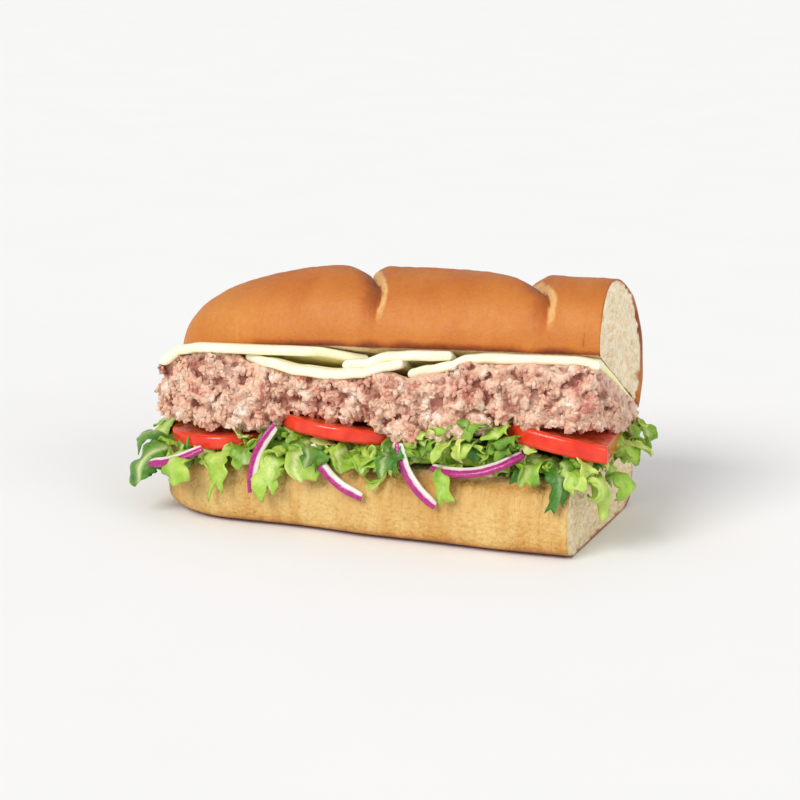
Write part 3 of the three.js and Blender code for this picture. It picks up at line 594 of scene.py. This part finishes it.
for number, (middle, run, skin_way, length) in enumerate(ONIONS, 1):
    face = unit(np.cross(skin_way, run))
    run = unit(run)
    skin_way = np.cross(run, face)
    turn = np.linspace(-1, 1, 70) * length / ONION_RADIUS / 2
    ring = np.linspace(0, 2 * np.pi, ONION_RING, endpoint=False)
    inward = ONION_LAYER / 2 * (1 - squarish(np.cos(ring), 0.6))
    across = ONION_SLICE / 2 * squarish(np.sin(ring), 0.6)
    rows = []
    for t in turn:
        thin = 1 - 0.25 * abs(t / turn[-1]) ** 6
        radius = ONION_RADIUS - inward * thin
        spot = middle - skin_way * ONION_RADIUS + np.outer(radius * math.cos(t), skin_way)
        rows.append(spot + np.outer(radius * math.sin(t), run) + np.outer(across * thin, face))
    points = np.array(rows).reshape(-1, 3)
    faces = grid_faces(len(rows), ONION_RING, True)
    points = points + point_normals(points, faces) * (0.12 * noise(points, 3, 30 + number))[:, None]
    faces = [*faces.tolist(), *end_fans(len(points), ONION_RING)]
    points = np.vstack([points, rows[0].mean(0), rows[-1].mean(0)])
    marks = {"depth": np.r_[np.tile(inward / ONION_LAYER, len(rows)), 0.5, 0.5],
             "along": np.r_[np.repeat(turn * ONION_RADIUS, ONION_RING), 0, 0]}
    slice_piece = as_piece(f"onion_slice_{number}", points, faces, onion_finish, marks)
    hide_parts(f"onion_{number}")


# Tomato. Three slices of ripe tomatoes, 45 to 59 millimetres across and five or six thick, with a
# taut glossy skin round the edge and wet flesh on the cut faces. The right-hand one is cut off with the roll.
TOMATO_EDGE = 1.4
TOMATO_RING = 200
END_CUT = (86, -33, 0)
END_CUT_TURN = math.radians(10)
# Middle of the slice, its radius and thickness, and how it leans back and sideways in degrees.
TOMATOES = (
    ((-53, -16, 27.4), 22.5, 5, 0, -2.5),
    ((-8, -14.5, 32.4), 27, 5, -8, 4.5),
    ((68, -9, 34.4), 29.5, 6, -9, 9))

f = tomato_finish = Finish("tomato_slice", 0.2, 0.5, coat=0.2)
f.glow(0.25, (1.6, 0.5, 0.25), 3)
mottle = f.grain(5, detail=3)
skin = f.blend(mottle.between(0.3, 0.7), (214, 40, 20), (232, 66, 30))
flesh = f.blend(f.grain(3, detail=3).between(0.35, 0.65), (222, 62, 36), (236, 104, 62))
rim = f.mark("skin") + (mottle - 0.5) * 0.2
# Painted highlight: a paler line along the corners where the skin meets the cut faces.
seam = rim.between(0.3, 0.5) - rim.between(0.55, 0.8)
surface = f.blend(rim.between(0.35, 0.6), flesh, skin)
f.paint(f.blend(seam * 0.7, surface, (248, 140, 92)))
f.relief(mottle * 0.5 + f.grain(1.1) * 0.5, 0.25)

for number, (middle, radius, thickness, lean, roll) in enumerate(TOMATOES, 1):
    half = thickness / 2
    corner = np.linspace(0, np.pi / 2, 7)[1:]
    wall = np.linspace(-1, 1, 9)[1:-1]
    flat = np.linspace(2, radius - TOMATO_EDGE, 22)
    rounding = radius - TOMATO_EDGE + TOMATO_EDGE * np.sin(corner)
    fall = half - TOMATO_EDGE + TOMATO_EDGE * np.cos(corner)
    spokes = np.r_[flat, rounding, radius + 0 * wall, rounding[::-1], flat[::-1]]
    heights = np.r_[half + 0 * flat, fall, -wall * (half - TOMATO_EDGE), -fall[::-1], -half + 0 * flat]
    is_skin = eased(spokes, radius - 1.6, radius - 0.5)
    turn = np.linspace(0, 2 * np.pi, TOMATO_RING, endpoint=False)
    rows = np.stack([np.outer(spokes, np.cos(turn)), np.outer(spokes, np.sin(turn)),
                     np.outer(heights, 0 * turn + 1)], -1)
    uneven = 1 + 0.012 * np.sin(3 * turn + number) + 0.008 * np.sin(5 * turn + 2 * number)
    rows[..., :2] *= uneven[:, None] - 0.012
    points = rows.reshape(-1, 3)
    faces = grid_faces(len(rows), TOMATO_RING, True)[:, ::-1]
    wet = 0.3 * np.abs(noise(points, 4, 40 + number)) * (1 - np.repeat(is_skin, TOMATO_RING))
    points = points - point_normals(points, faces) * wet[:, None]
    faces = [*faces.tolist(), *end_fans(len(points), TOMATO_RING)]
    points = np.vstack([points, (0, 0, half), (0, 0, -half)])
    tilt = Matrix.Rotation(math.radians(lean), 3, "X") @ Matrix.Rotation(math.radians(roll), 3, "Y")
    points = points @ np.array(tilt).T + middle
    tomato = as_piece(f"tomato_slice_{number}", points, faces, tomato_finish,
                      {"skin": np.r_[np.repeat(is_skin, TOMATO_RING), 0, 0]})
    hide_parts(f"tomato_{number}")


def spot_in_frame(point):
    return Vector(np.array(point) * MM + DRAWING)


# The knife that cut the roll took the last slice's right end off too, and left wet flesh there.
work = bmesh.new()
work.from_mesh(tomato.data)
bmesh.ops.bisect_plane(work, geom=[*work.verts, *work.edges, *work.faces], clear_outer=True,
                       plane_co=spot_in_frame(END_CUT),
                       plane_no=(math.cos(END_CUT_TURN), math.sin(END_CUT_TURN), 0))
fresh = bmesh.ops.holes_fill(work, edges=[edge for edge in work.edges if edge.is_boundary])["faces"]
bmesh.ops.inset_region(work, faces=fresh, thickness=0.8 * MM)
layer = work.verts.layers.float["skin"]
for vert in {vert for face in fresh for vert in face.verts}:
    vert[layer] = 0
bmesh.ops.triangulate(work, faces=[face for face in work.faces if len(face.verts) > 4])
bmesh.ops.recalc_face_normals(work, faces=work.faces)
work.to_mesh(tomato.data)
work.free()


# Tuna salad. Flaked tuna bound with mayonnaise and dropped on by the scoop, so that it stands as a rough
# bank of moist flakes two to five millimetres across, pink-beige with creamy and redder ones between.
# How fine the heap's core is, and its skin.
CORE_GRID = 1.5
TUNA_GRID = 0.68
# How many flakes and loose crumbles there are to the square centimetre, and the smallest and largest.
FLAKES = (24, 1.8, 4.6)
CRUMBLES = (40, 1.1, 2.7)
CM2_IN_M2 = 1e4
FULL_SPIN = (6.28, 6.28, 6.28)
CLUMPS = 330
TUCK = 1.3
# Where the cheese's front edges run across the lid, and how far behind them the slices still sag.
CHEESE_FRONT = -5
CHEESE_SAG = 17
# The plane of the roll's upper cut, which the cheese lies along: its front corner at the knife cut, how it
# turns and climbs along the roll, and how far it leans back.
LID_CORNER = np.array((79.5, -21, 65))
LID_YAW = math.radians(5)
LID_SLOPE = math.radians(1.6)
LID_TILT = math.radians(27)
# How low the cheese hangs under the lid by place along it, at its front edge and further back.
CHEESE_IN_FRONT = (
    (-152, -9), (-143, -5), (-137, -3.7), (-124, -3.7), (-119, -6.4), (-112, -7.6), (-100, -9.9),
    (-88, -10.9), (-79, -10), (-70, -8), (-63, -9.9), (-56, -8.1), (-49, -6.6), (-43, -4.2), (-36, -3.5))
CHEESE_BEHIND = ((-124, -3.5), (-120, -6.4), (-48, -6.4), (-38, -3.5))

lid_axis = np.array((math.cos(LID_YAW) * math.cos(LID_SLOPE), math.sin(LID_YAW) * math.cos(LID_SLOPE),
                     math.sin(LID_SLOPE)))
lid_level = np.array((-math.sin(LID_YAW), math.cos(LID_YAW), 0))
lid_across = lid_level * math.cos(LID_TILT) - np.cross(lid_axis, lid_level) * math.sin(LID_TILT)
lid_turn = np.array((lid_axis, lid_across, np.cross(lid_axis, lid_across)))


def points_and_normals(mesh):
    both = np.empty((2, len(mesh.vertices) * 3), np.float32)
    mesh.vertices.foreach_get("co", both[0])
    mesh.vertex_normals.foreach_get("vector", both[1])
    points, out = both.reshape(2, -1, 3).astype(float)
    return (points - DRAWING) / MM, out


def move_points(mesh, points):
    mesh.vertices.foreach_set("co", (points * MM + DRAWING).ravel())
    mesh.update()


def hollows(points, mesh, out, rounds):
    """How far each point lies under the surface that smoothing it so many rounds would leave."""
    edges = np.empty(len(mesh.edges) * 2, np.int64)
    mesh.edges.foreach_get("vertices", edges)
    first, second = edges.reshape(-1, 2).T
    many = len(points)
    ties = np.bincount(np.r_[first, second], minlength=many)
    smooth = points.T
    for _ in range(rounds):
        smooth = [(np.bincount(first, value[second], many) + np.bincount(second, value[first], many)) / ties
                  for value in smooth]
    return ((np.column_stack(smooth) - points) * out).sum(1)


def finished_copy(piece):
    """The piece's mesh with its modifiers applied."""
    mesh = bpy.data.meshes.new_from_object(piece.evaluated_get(bpy.context.evaluated_depsgraph_get()))
    piece.modifiers.clear()
    return mesh


def flake_shapes(count, seed, fineness):
    """A few ragged flakes, one unit across, to be scattered in many sizes."""
    box = bpy.data.collections.new(f"flake_shapes_{seed}")
    draw = np.random.default_rng(seed)
    for number in range(count):
        work = bmesh.new()
        bmesh.ops.create_icosphere(work, subdivisions=fineness, radius=0.5)
        for vert in work.verts:
            vert.co *= draw.uniform(0.66, 1.3)
            vert.co.x *= 1.4
            vert.co.z *= 0.66
        name = f"flake_shape_{seed}_{number}"
        mesh = bpy.data.meshes.new(name)
        work.to_mesh(mesh)
        work.free()
        box.objects.link(bpy.data.objects.new(name, mesh))
    return box


def finder(spots):
    """A tree that finds the nearest of the spots."""
    tree = KDTree(len(spots))
    for number, spot in enumerate(spots):
        tree.insert(spot, number)
    tree.balance()
    return tree


def strewn(piece, seed, shapes, per_cm2, smallest, largest):
    """Flakes strewn over a piece, thickest where its own 'open' value is 1, each with its own tone."""
    tree = bpy.data.node_groups.new("strewn_flakes", "GeometryNodeTree")
    for way in ("INPUT", "OUTPUT"):
        tree.interface.new_socket("Geometry", in_out=way, socket_type="NodeSocketGeometry")

    def node(kind, output, sockets, **settings):
        made = tree.nodes.new(kind)
        for key, value in settings.items():
            setattr(made, key, value)
        plug(made, sockets.items())
        return made.outputs[output]

    start = tree.nodes.new("NodeGroupInput").outputs[0]
    share = node("GeometryNodeInputNamedAttribute", 0, {"Name": "open"})
    density = node("ShaderNodeMath", 0, {0: per_cm2 * CM2_IN_M2, 1: share}, operation="MULTIPLY")
    spots = node("GeometryNodeDistributePointsOnFaces", "Points",
                 {"Mesh": start, "Density": density, "Seed": seed})
    pick = node("GeometryNodeCollectionInfo", 0, {"Collection": shapes, 1: True, 2: True})
    size = node("FunctionNodeRandomValue", 1, {2: smallest * MM, 3: largest * MM, "Seed": 3})
    spin = node("FunctionNodeRandomValue", 0, {1: FULL_SPIN, "Seed": 4}, data_type="FLOAT_VECTOR")
    laid = node("GeometryNodeInstanceOnPoints", 0,
                {"Points": spots, "Instance": pick, 3: True, "Rotation": spin, "Scale": size})
    tone = node("FunctionNodeRandomValue", 1, {2: 0.0, 3: 1.0, "Seed": 5})
    toned = node("GeometryNodeStoreNamedAttribute", 0, {"Geometry": laid, "Name": "tone", "Value": tone},
                 domain="INSTANCE")
    real = node("GeometryNodeRealizeInstances", 0, {"Geometry": toned})
    real = node("GeometryNodeSetMaterial", 0, {"Geometry": real, "Material": tuna_finish.material})
    tree.links.new(real, tree.nodes.new("NodeGroupOutput").inputs[0])
    piece.modifiers.new("flakes", "NODES").node_group = tree
    return finished_copy(piece)


f = tuna_finish = Finish("tuna_salad", 0.42, 0.45)
f.glow(0.2, (1.0, 0.55, 0.4), 0.6)
tone = f.mark("tone") * 0.5 + (f.grain(6) - 0.5) * 2 + (f.grain(1.5, detail=3) - 0.5) * 0.8 + 0.27
flesh = f.blend(tone.between(0.0, 0.3), (196, 122, 104), (222, 174, 150))
flesh = f.blend(tone.between(0.3, 0.65), flesh, (230, 194, 168))
flesh = f.blend(tone.between(0.72, 1.2), flesh, (244, 230, 216))
# Painted shade: the flesh turns dark brown-pink in the hollows between flakes and clumps.
f.paint(f.blend(f.mark("hollow").between(0.1, 1.4), flesh, (150, 86, 68)))
f.relief(f.grain(0.8, detail=3), 0.4)


def droop(across):
    return np.exp(-((across - CHEESE_FRONT) / CHEESE_SAG) ** 2)


def under_cheese(spots):
    """How high each point lies over the lowest cheese above it, or how far under it, below nought."""
    place, across, high = ((spots - LID_CORNER) @ lid_turn.T).T
    behind = along(CHEESE_BEHIND, place)
    return high - behind - (along(CHEESE_IN_FRONT, place) - behind) * droop(across)


def bare_share(spots, out):
    """1 where the heap stands open to the air, 0 where cheese, tomato or lettuce lie against it."""
    ends = np.maximum(eased(spots[:, 0], 70, 78), eased(-spots[:, 0], 66, 72))
    share = np.maximum(np.maximum(eased(-spots[:, 1], 22, 30), eased(spots[:, 1], 22, 28)), ends)
    over_tomato = (out[:, 2] < 0) * eased(-spots[:, 1], 22, 28)
    level = eased(np.abs(out[:, 2]), 0.55, 0.9) * (1 - 0.7 * over_tomato)
    return share * (1 - 0.9 * level) * eased(-under_cheese(spots), 0, 2)


def below_cheese(spots):
    """The same points, with those that would push up through the cheese pressed down under it."""
    in_front = 1 - eased(((spots - LID_CORNER) @ lid_turn.T)[:, 1], -6, 0)
    above = under_cheese(spots) + 0.3 * noise(spots, 3, 64) + 2 * eased(-spots[:, 0], 70, 76) + 1.1 * in_front
    spots = spots - np.maximum(above, 0)[:, None] * lid_turn[2]
    drawn_in = 11.5 * eased(above, -14, -2) + noise(spots, 2, 65)
    return np.column_stack([np.clip(spots[:, 0], drawn_in - 82, 85.5 - 0.5 * drawn_in), spots[:, 1:]])


def regridded(step):
    """The tuna rebuilt as one closed skin on an even grid, where whatever overlaps is fused."""
    grid = tuna.modifiers.new("even_grid", "REMESH")
    grid.mode = "VOXEL"
    grid.voxel_size = step * MM
    return finished_copy(tuna)


core = welded(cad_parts["tuna_salad"].data.copy(), 1e-6)
core.materials.clear()
tuna = placed("tuna_salad_heap", core)
base = regridded(CORE_GRID)
spots, out = points_and_normals(base)
shown = bare_share(spots, out)
ends = np.maximum(eased(spots[:, 0], 72, 80), eased(-spots[:, 0], 68, 76))
move_points(base, spots - out * ((TUCK + 1.3 * ends) * shown)[:, None])
draw = np.random.default_rng(57)
clumps = finder(spots[draw.choice(len(spots), CLUMPS, replace=False)])
give(base, "open", shown)
tuna.data = base
flakes = strewn(tuna, 11, flake_shapes(5, 51, 2), *FLAKES)

both = bmesh.new()
both.from_mesh(base)
both.from_mesh(flakes)
joined = bpy.data.meshes.new("tuna_joined")
both.to_mesh(joined)
both.free()
tuna.data = joined
mesh = regridded(TUNA_GRID)
spots, out = points_and_normals(mesh)
spots = spots + out * (0.9 * np.maximum(hollows(spots, mesh, out, 24) - 0.4, 0))[:, None]
astray = spots + 1.1 * np.column_stack([noise(spots, 4, k) for k in (61, 62, 63)])
seam = np.array([second[2] - first[2] for first, second in (clumps.find_n(spot, 2) for spot in astray)])
bare = bare_share(spots, out)
rough = 0.4 * noise(spots, 1.4, 53) + 0.3 * noise(spots, 2.8, 54) + 0.4 * noise(spots, 6.5, 55)
rough += (1.6 * eased(seam, 0, 4) - 1.05) * bare
spots = below_cheese(spots + out * rough[:, None])
move_points(mesh, spots)
# How deep each point lies in a hollow, which sets the painted shade there.
hollow = hollows(spots, mesh, out, 14) + 0.5 * hollows(spots, mesh, out, 70)
flake_tones = np.empty(len(flakes.vertices), np.float32)
flakes.attributes["tone"].data.foreach_get("value", flake_tones)
tree = finder(points_and_normals(flakes)[0])
give(mesh, "tone", flake_tones[[tree.find(spot)[1] for spot in spots]])
give(mesh, "hollow", hollow)
give(mesh, "open", bare_share(spots, out) * (1 - eased(hollow, 0.5, 1.2)))
tuna.data = mesh
crumbles = strewn(tuna, 12, flake_shapes(7, 52, 1), *CRUMBLES)
move_points(crumbles, below_cheese(points_and_normals(crumbles)[0]))
mesh.materials.clear()
mesh.materials.append(tuna_finish.material)
mesh.shade_smooth()
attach(tuna, "root")
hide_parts("tuna_salad")

bits = placed("tuna_crumbles", crumbles)
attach(bits, "root")


# Cheese. Four slices of white cheese, each about three millimetres thick, laid overlapping along the roll
# under its lid. They are soft enough to sag over the tuna at the open side and to round at the edges.
CHEESE_THICKNESS = 3.2
CHEESE_LIP = 1.6
CHEESE_DEPTH = 69
CHEESE_EDGE = 1.3
UPPER = -1.6
LOWER = -4.6
# Where each slice starts and ends along the lid, how far its far corner is tucked in, the level that it
# lies at, and the line of its front edge.
CHEESE_SLICES = (
    (-149.5, -80, 9, UPPER,
     ((-149.5, -7), (-143, -2.6), (-137, UPPER), (-100, UPPER), (-80, -2.2))),
    (-120.5, -64.5, 0, LOWER,
     ((-120.5, LOWER), (-112, -5.9), (-100, -8.2), (-88, -9.2), (-79, -8.3), (-70, -5.6), (-65, LOWER))),
    (-86, -49, 0, UPPER,
     ((-86, -6.2), (-79, -5.3), (-70, -2.4), (-60, UPPER))),
    (-63, 1, 0, LOWER,
     ((-63, -8.2), (-56, -6.4), (-49, -4.8), (-43, -2.2), (-36, UPPER), (-8, UPPER), (1, -2.6))))


def on_lid(points):
    """Points measured from the lid's front corner along it, across it and up through it."""
    return points @ lid_turn + LID_CORNER


f = cheese_finish = Finish("white_cheese", 0.36, 0.4)
f.glow(0.6, (1.0, 0.8, 0.45), 3)
lit = f.blend(f.grain(7, detail=3).between(0.35, 0.65), (246, 236, 200), (250, 244, 216))
# Painted shade: behind the front edge, under the lid, the slices turn a deeper yellow, as they look in shade;
# the front strip keeps the lit colour.
f.paint(f.blend(f.mark("shade_under_lid").between(0, 1), lit, (255, 240, 164)))
f.relief(f.grain(2.5, detail=3), 0.1)


def edge_steps(length, step):
    """Places along a side, closer together near both ends, where the edge rounds over."""
    rim = CHEESE_EDGE * (1 - np.cos(np.linspace(0, np.pi / 2, 7)))
    between = np.linspace(CHEESE_EDGE, length - CHEESE_EDGE, int(length / step))[1:-1]
    return np.r_[rim, between, (length - rim)[::-1]]


for number, (start, stop, tucked, level, front) in enumerate(CHEESE_SLICES, 1):
    us = edge_steps(stop - start, 0.9) / (stop - start)
    vs = edge_steps(CHEESE_DEPTH, 0.9) / CHEESE_DEPTH
    u, v = np.meshgrid(us, vs, indexing="ij")
    skew = 1.5 * math.sin(2.1 * number)
    x = start + (stop - start - tucked * eased(v, 0, 0.12)) * u
    drawn_in = 11 * eased(x, stop - 24, stop) * (number == 1) + 3 * eased(x, stop - 8, stop) * (number == 3)
    drawn_in = drawn_in + 3 * (1 - eased(x, start, start + 12)) * (number > 1)
    y = CHEESE_FRONT + skew * (u - 0.5) + (CHEESE_DEPTH + skew * (1.5 - u)) * v + drawn_in * (1 - v)
    flat = level if level == UPPER else LOWER + (UPPER - LOWER) * eased(x, -48, -38)
    lip = CHEESE_LIP * (1 - eased(y, CHEESE_FRONT, CHEESE_FRONT + 6))
    middle = flat + (along(front, x) - flat) * droop(y) - lip
    near = np.minimum(np.minimum(u, 1 - u) * (stop - start), np.minimum(v, 1 - v) * CHEESE_DEPTH)
    half = CHEESE_THICKNESS / 2 * np.sqrt(1 - np.clip(1 - near / CHEESE_EDGE, 0, 1) ** 2)
    sheet = np.stack([x, y, middle], -1).reshape(-1, 3)
    half = half.ravel()
    faces = grid_faces(len(us), len(vs), False)
    out = point_normals(sheet, faces)
    out *= np.sign(out[:, 2:])
    waves = 0.12 * noise(sheet, 9, 60 + number)
    upper, lower = sheet + out * (half + waves)[:, None], sheet + out * (waves - half)[:, None]
    points = on_lid(np.vstack([upper, lower]))
    faces = np.vstack([faces, faces[:, ::-1] + len(sheet)])
    cheese = as_piece(f"cheese_slice_{number}", points, faces.tolist(), cheese_finish,
                      {"shade_under_lid": np.tile(eased(v.ravel() * CHEESE_DEPTH, 4, 12), 2)})
    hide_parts(f"cheese_{number}")


# Top half of the roll. The baker scores it twice before baking, so it rises in three lobes. Its crust is
# smooth, thin and evenly brown, paler low down and where the scores tore open. It rests tilted on the cheese.
TOP_LENGTH = 155
TOP_ROUND_END = 55
TOP_THICKNESS = 33.5
LOBE_RISE = 2.4
TOP_HALF_WIDTH = 38
TOP_MIDDLE = 36
TOP_WAIST = 9
TOP_UNDERCUT = 0.42
TOP_SQUARENESS = 0.86
# Each score's place along the lid, how deep it is, and how far the roll bends in to it on either side. Then
# how far each runs aslant from the roll's middle to its side.
SCORES = ((-93, 7, 17, 6), (-38, 8.5, 19, 7))
SCORE_SLANTS = (17, 20)


def slant_at(place):
    first, second = SCORE_SLANTS
    turned = first + (second - first) * eased(place, SCORES[0][0], SCORES[1][0])
    return turned * eased(-place, 1, 30) * eased(place + TOP_LENGTH, 0, 40)


def shoulder(away, before, after):
    """How far a lobe has sunk at a distance from the score beside it, as a share of the score's depth."""
    share = np.clip(1 - abs(away) / (before if away < 0 else after), 0, 1)
    return 0.5 * share ** (2.4 if away < 0 else 1.8) + 0.5 * (1 - math.sqrt(1 - share * share))


angle = np.linspace(-TOP_UNDERCUT, np.pi + TOP_UNDERCUT, 400)
side = -squarish(np.cos(angle), TOP_SQUARENESS) * TOP_HALF_WIDTH
lift = np.where(np.sin(angle) < 0, TOP_WAIST * (1 + np.sin(angle) / math.sin(TOP_UNDERCUT)),
                TOP_WAIST + (TOP_THICKNESS - TOP_WAIST) * np.maximum(np.sin(angle), 0) ** TOP_SQUARENESS)
outline = evenly(np.column_stack([side, lift]), OUTLINE_POINTS)
high = np.maximum(outline[:, 1] - TOP_WAIST, 0) / (TOP_THICKNESS - TOP_WAIST)
low = np.minimum(outline[:, 1] - TOP_WAIST, 0) / TOP_WAIST
sections = []
distances = places_along(TOP_LENGTH, TOP_ROUND_END, 0.85)
for distance in distances:
    share = end_share(distance, TOP_ROUND_END)
    place = distance - TOP_LENGTH
    pinch = sum(depth * shoulder(place - at, before, after) for at, depth, before, after in SCORES)
    thickness = TOP_THICKNESS + LOBE_RISE * eased(-place, 10, 90)
    shrink = pinch * (0.22 + 0.78 * high ** 1.2) * min(1, share * 1.4)
    reach = np.maximum(0.5, TOP_HALF_WIDTH * share ** 0.95 - 0.5 * shrink)
    waist = TOP_WAIST * share
    rise = ((thickness - TOP_WAIST) * share - shrink) * high
    across = outline[:, 0] / TOP_HALF_WIDTH
    sections.append(np.column_stack([place - slant_at(place) * across, TOP_MIDDLE + across * reach,
                                     waist + rise + waist * low]))
points, faces, fans, inset = baked_half(sections, 36)
faces = faces[:, ::-1]
out = point_normals(points, faces)
place = np.zeros(len(points))
place[:len(distances) * len(high)] = np.repeat(distances - TOP_LENGTH, len(high))
under = eased(-out[:, 2], 0.75, 0.95) * (points[:, 2] < 4) * (inset == 0)
crust = (1 - under) * (inset == 0)
folds = noise(points * (1, 0.3, 0.3), 2.6, 73) + 0.6 * noise(points * (1, 0.4, 0.4), 1.5, 79)
swell = 0.5 * noise(points, 19, 71) + 0.25 * noise(points, 7, 72) + 0.12 * folds
torn = shade_before_score = 0
for at, depth, before, after in SCORES:
    wander = 0.9 * noise(points * (0, 1, 1), 9, 74) + 0.35 * noise(points * (0, 1, 1), 2.5, 75)
    away = place - at + wander
    strength = eased(points[:, 2], 3, 17)
    swell -= 0.8 * np.exp(-(away / 0.8) ** 2) * strength
    torn += eased(away, -0.2, 0.4) * (1 - eased(away, 1.4, 3.6)) * strength
    # Painted shade: the crust darkens on the side of each lobe that sinks into the score, facing away from
    # the light.
    shade_before_score += eased(away, -9, -0.8) * (1 - eased(away, -0.4, 0.4)) * strength
rough = np.abs(noise(points, 1.8, 76)) * 0.5
swell = swell * crust + rough * torn * crust - crumb_pits(points, inset, 77) - 0.5 * under
points = points + out * swell[:, None]
bake_and_shade = 0.35 + 0.5 * eased(points[:, 2] / TOP_THICKNESS, 0.1, 0.75) + 0.16 * noise(points, 13, 78)
# Painted shade before each score, added to the baked tone.
bake_and_shade += 0.7 * shade_before_score
# Painted shadow: a dark line along the lid's lower front edge, where it meets the cheese.
bake_and_shade += 1.0 * (1 - eased(points[:, 2] + 0.8 * noise(points, 6, 80), 0.5, 3)) * eased(place, -150, -125)
rind = CRUST_THICKNESS + 3.6 * eased(points[:, 1], TOP_MIDDLE + 5, TOP_MIDDLE + 25)
# Its second term is painted shade: the lid's front darkens low down, towards that edge.
bake_and_shade += 0.5 * (inset > 0) + 0.3 * (1 - eased(points[:, 2], 3, 15)) * eased(-out[:, 1], 0.2, 0.8)
bake_and_shade += 0.08 - 0.2 * (1 - eased(place, -145, -118))
crumb = np.maximum(eased(inset + 0.7 * noise(points, 1.8, 81), 0.6 * rind, rind), under)

f = top_finish = Finish("brown_crust", 0.5, 0.28)
f.glow(0.12, (1.0, 0.45, 0.2), 2)
wrinkle = f.grain(1.5, (1, 0.4, 0.4), 4)
tone = f.mark("bake_and_shade") + (f.grain(1.6, detail=3) - 0.5) * 0.3 + (f.grain(9, (1, 0.5, 0.5), 3) - 0.5) * 0.5
skin = f.blend(tone.between(0.1, 0.5), (218, 160, 88), (202, 128, 56))
skin = f.blend(tone.between(0.5, 1.0), skin, (184, 102, 38))
# The darkest brown is reached mostly where painted shade is added to the baked tone.
skin = f.blend(tone.between(1.0, 1.8), skin, (112, 48, 22))
skin = f.blend((f.mark("torn") * (f.grain(2) + 0.45)).between(0.25, 0.8), skin, (224, 176, 112))
inside = f.blend(f.grain(1.8, detail=4).between(0.3, 0.64), (222, 194, 150), (252, 238, 208))
f.paint(f.blend(f.mark("crumb"), skin, inside))
f.vary("Roughness", (f.grain(4, detail=3) - 0.5) * 0.5 + 0.5)
f.relief(wrinkle * 0.5 + f.grain(0.9) * 0.5, 0.5)
bread_top = as_piece("roll_top", on_lid(points), [*faces.tolist(), *fans], top_finish,
                     {"bake_and_shade": bake_and_shade, "crumb": crumb, "torn": torn})
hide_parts("bread_top")


# Table top and light, as in a food studio: a wide pale sheet, a broad soft light far off and high to the
# front left, a weaker one to the right, and a white room all round. The camera stands 0.8 metres away.
CAMERA_SPOT = (296.04, -746.84, 238.74)
CAMERA_TARGET = (1.735, 0.290, 38.530)
CAMERA_LENS = 108


def aimed(name, data, spot, target):
    """A light or camera at one spot of the drawing, turned towards another."""
    thing = placed(name, data)
    thing.location = spot_in_frame(spot)
    thing.rotation_euler = (spot_in_frame(target) - thing.location).to_track_quat("-Z", "Y").to_euler()
    return thing


def soft_light(name, spot, softness, strength, tint):
    light = bpy.data.lights.new(name, "SUN")
    light.angle = math.radians(softness)
    light.energy = strength
    light.color = tint
    aimed(name, light, spot, (0, 0, 40))


f = table_finish = Finish("table_top", 0.9, 0.1)
f.paint(f.blend(f.grain(60), (246, 246, 246), (243, 243, 243)))
bpy.ops.mesh.primitive_plane_add(size=24, location=(0, 0, 0))
table = bpy.context.object
table.name = "table_top"
table.data.materials.append(table_finish.material)

soft_light("above_left", (-700, -2100, 1750), 30, 2.05, (1, 0.99, 0.975))
soft_light("right_fill", (1900, -900, 900), 40, 0.7, (1, 1, 1))
world = bpy.data.worlds.new("white_room")
world.use_nodes = True
plug(world.node_tree.nodes["Background"], (("Color", (1, 1, 1, 1)), ("Strength", 0.56)))
bpy.context.scene.world = world
bpy.context.scene.view_settings.view_transform = "Standard"

camera = bpy.data.cameras.new("photo_view")
camera.sensor_width = 36
camera.lens = CAMERA_LENS
camera.clip_start = 0.01
camera.clip_end = 20
bpy.context.scene.camera = aimed("photo_view", camera, CAMERA_SPOT, CAMERA_TARGET)
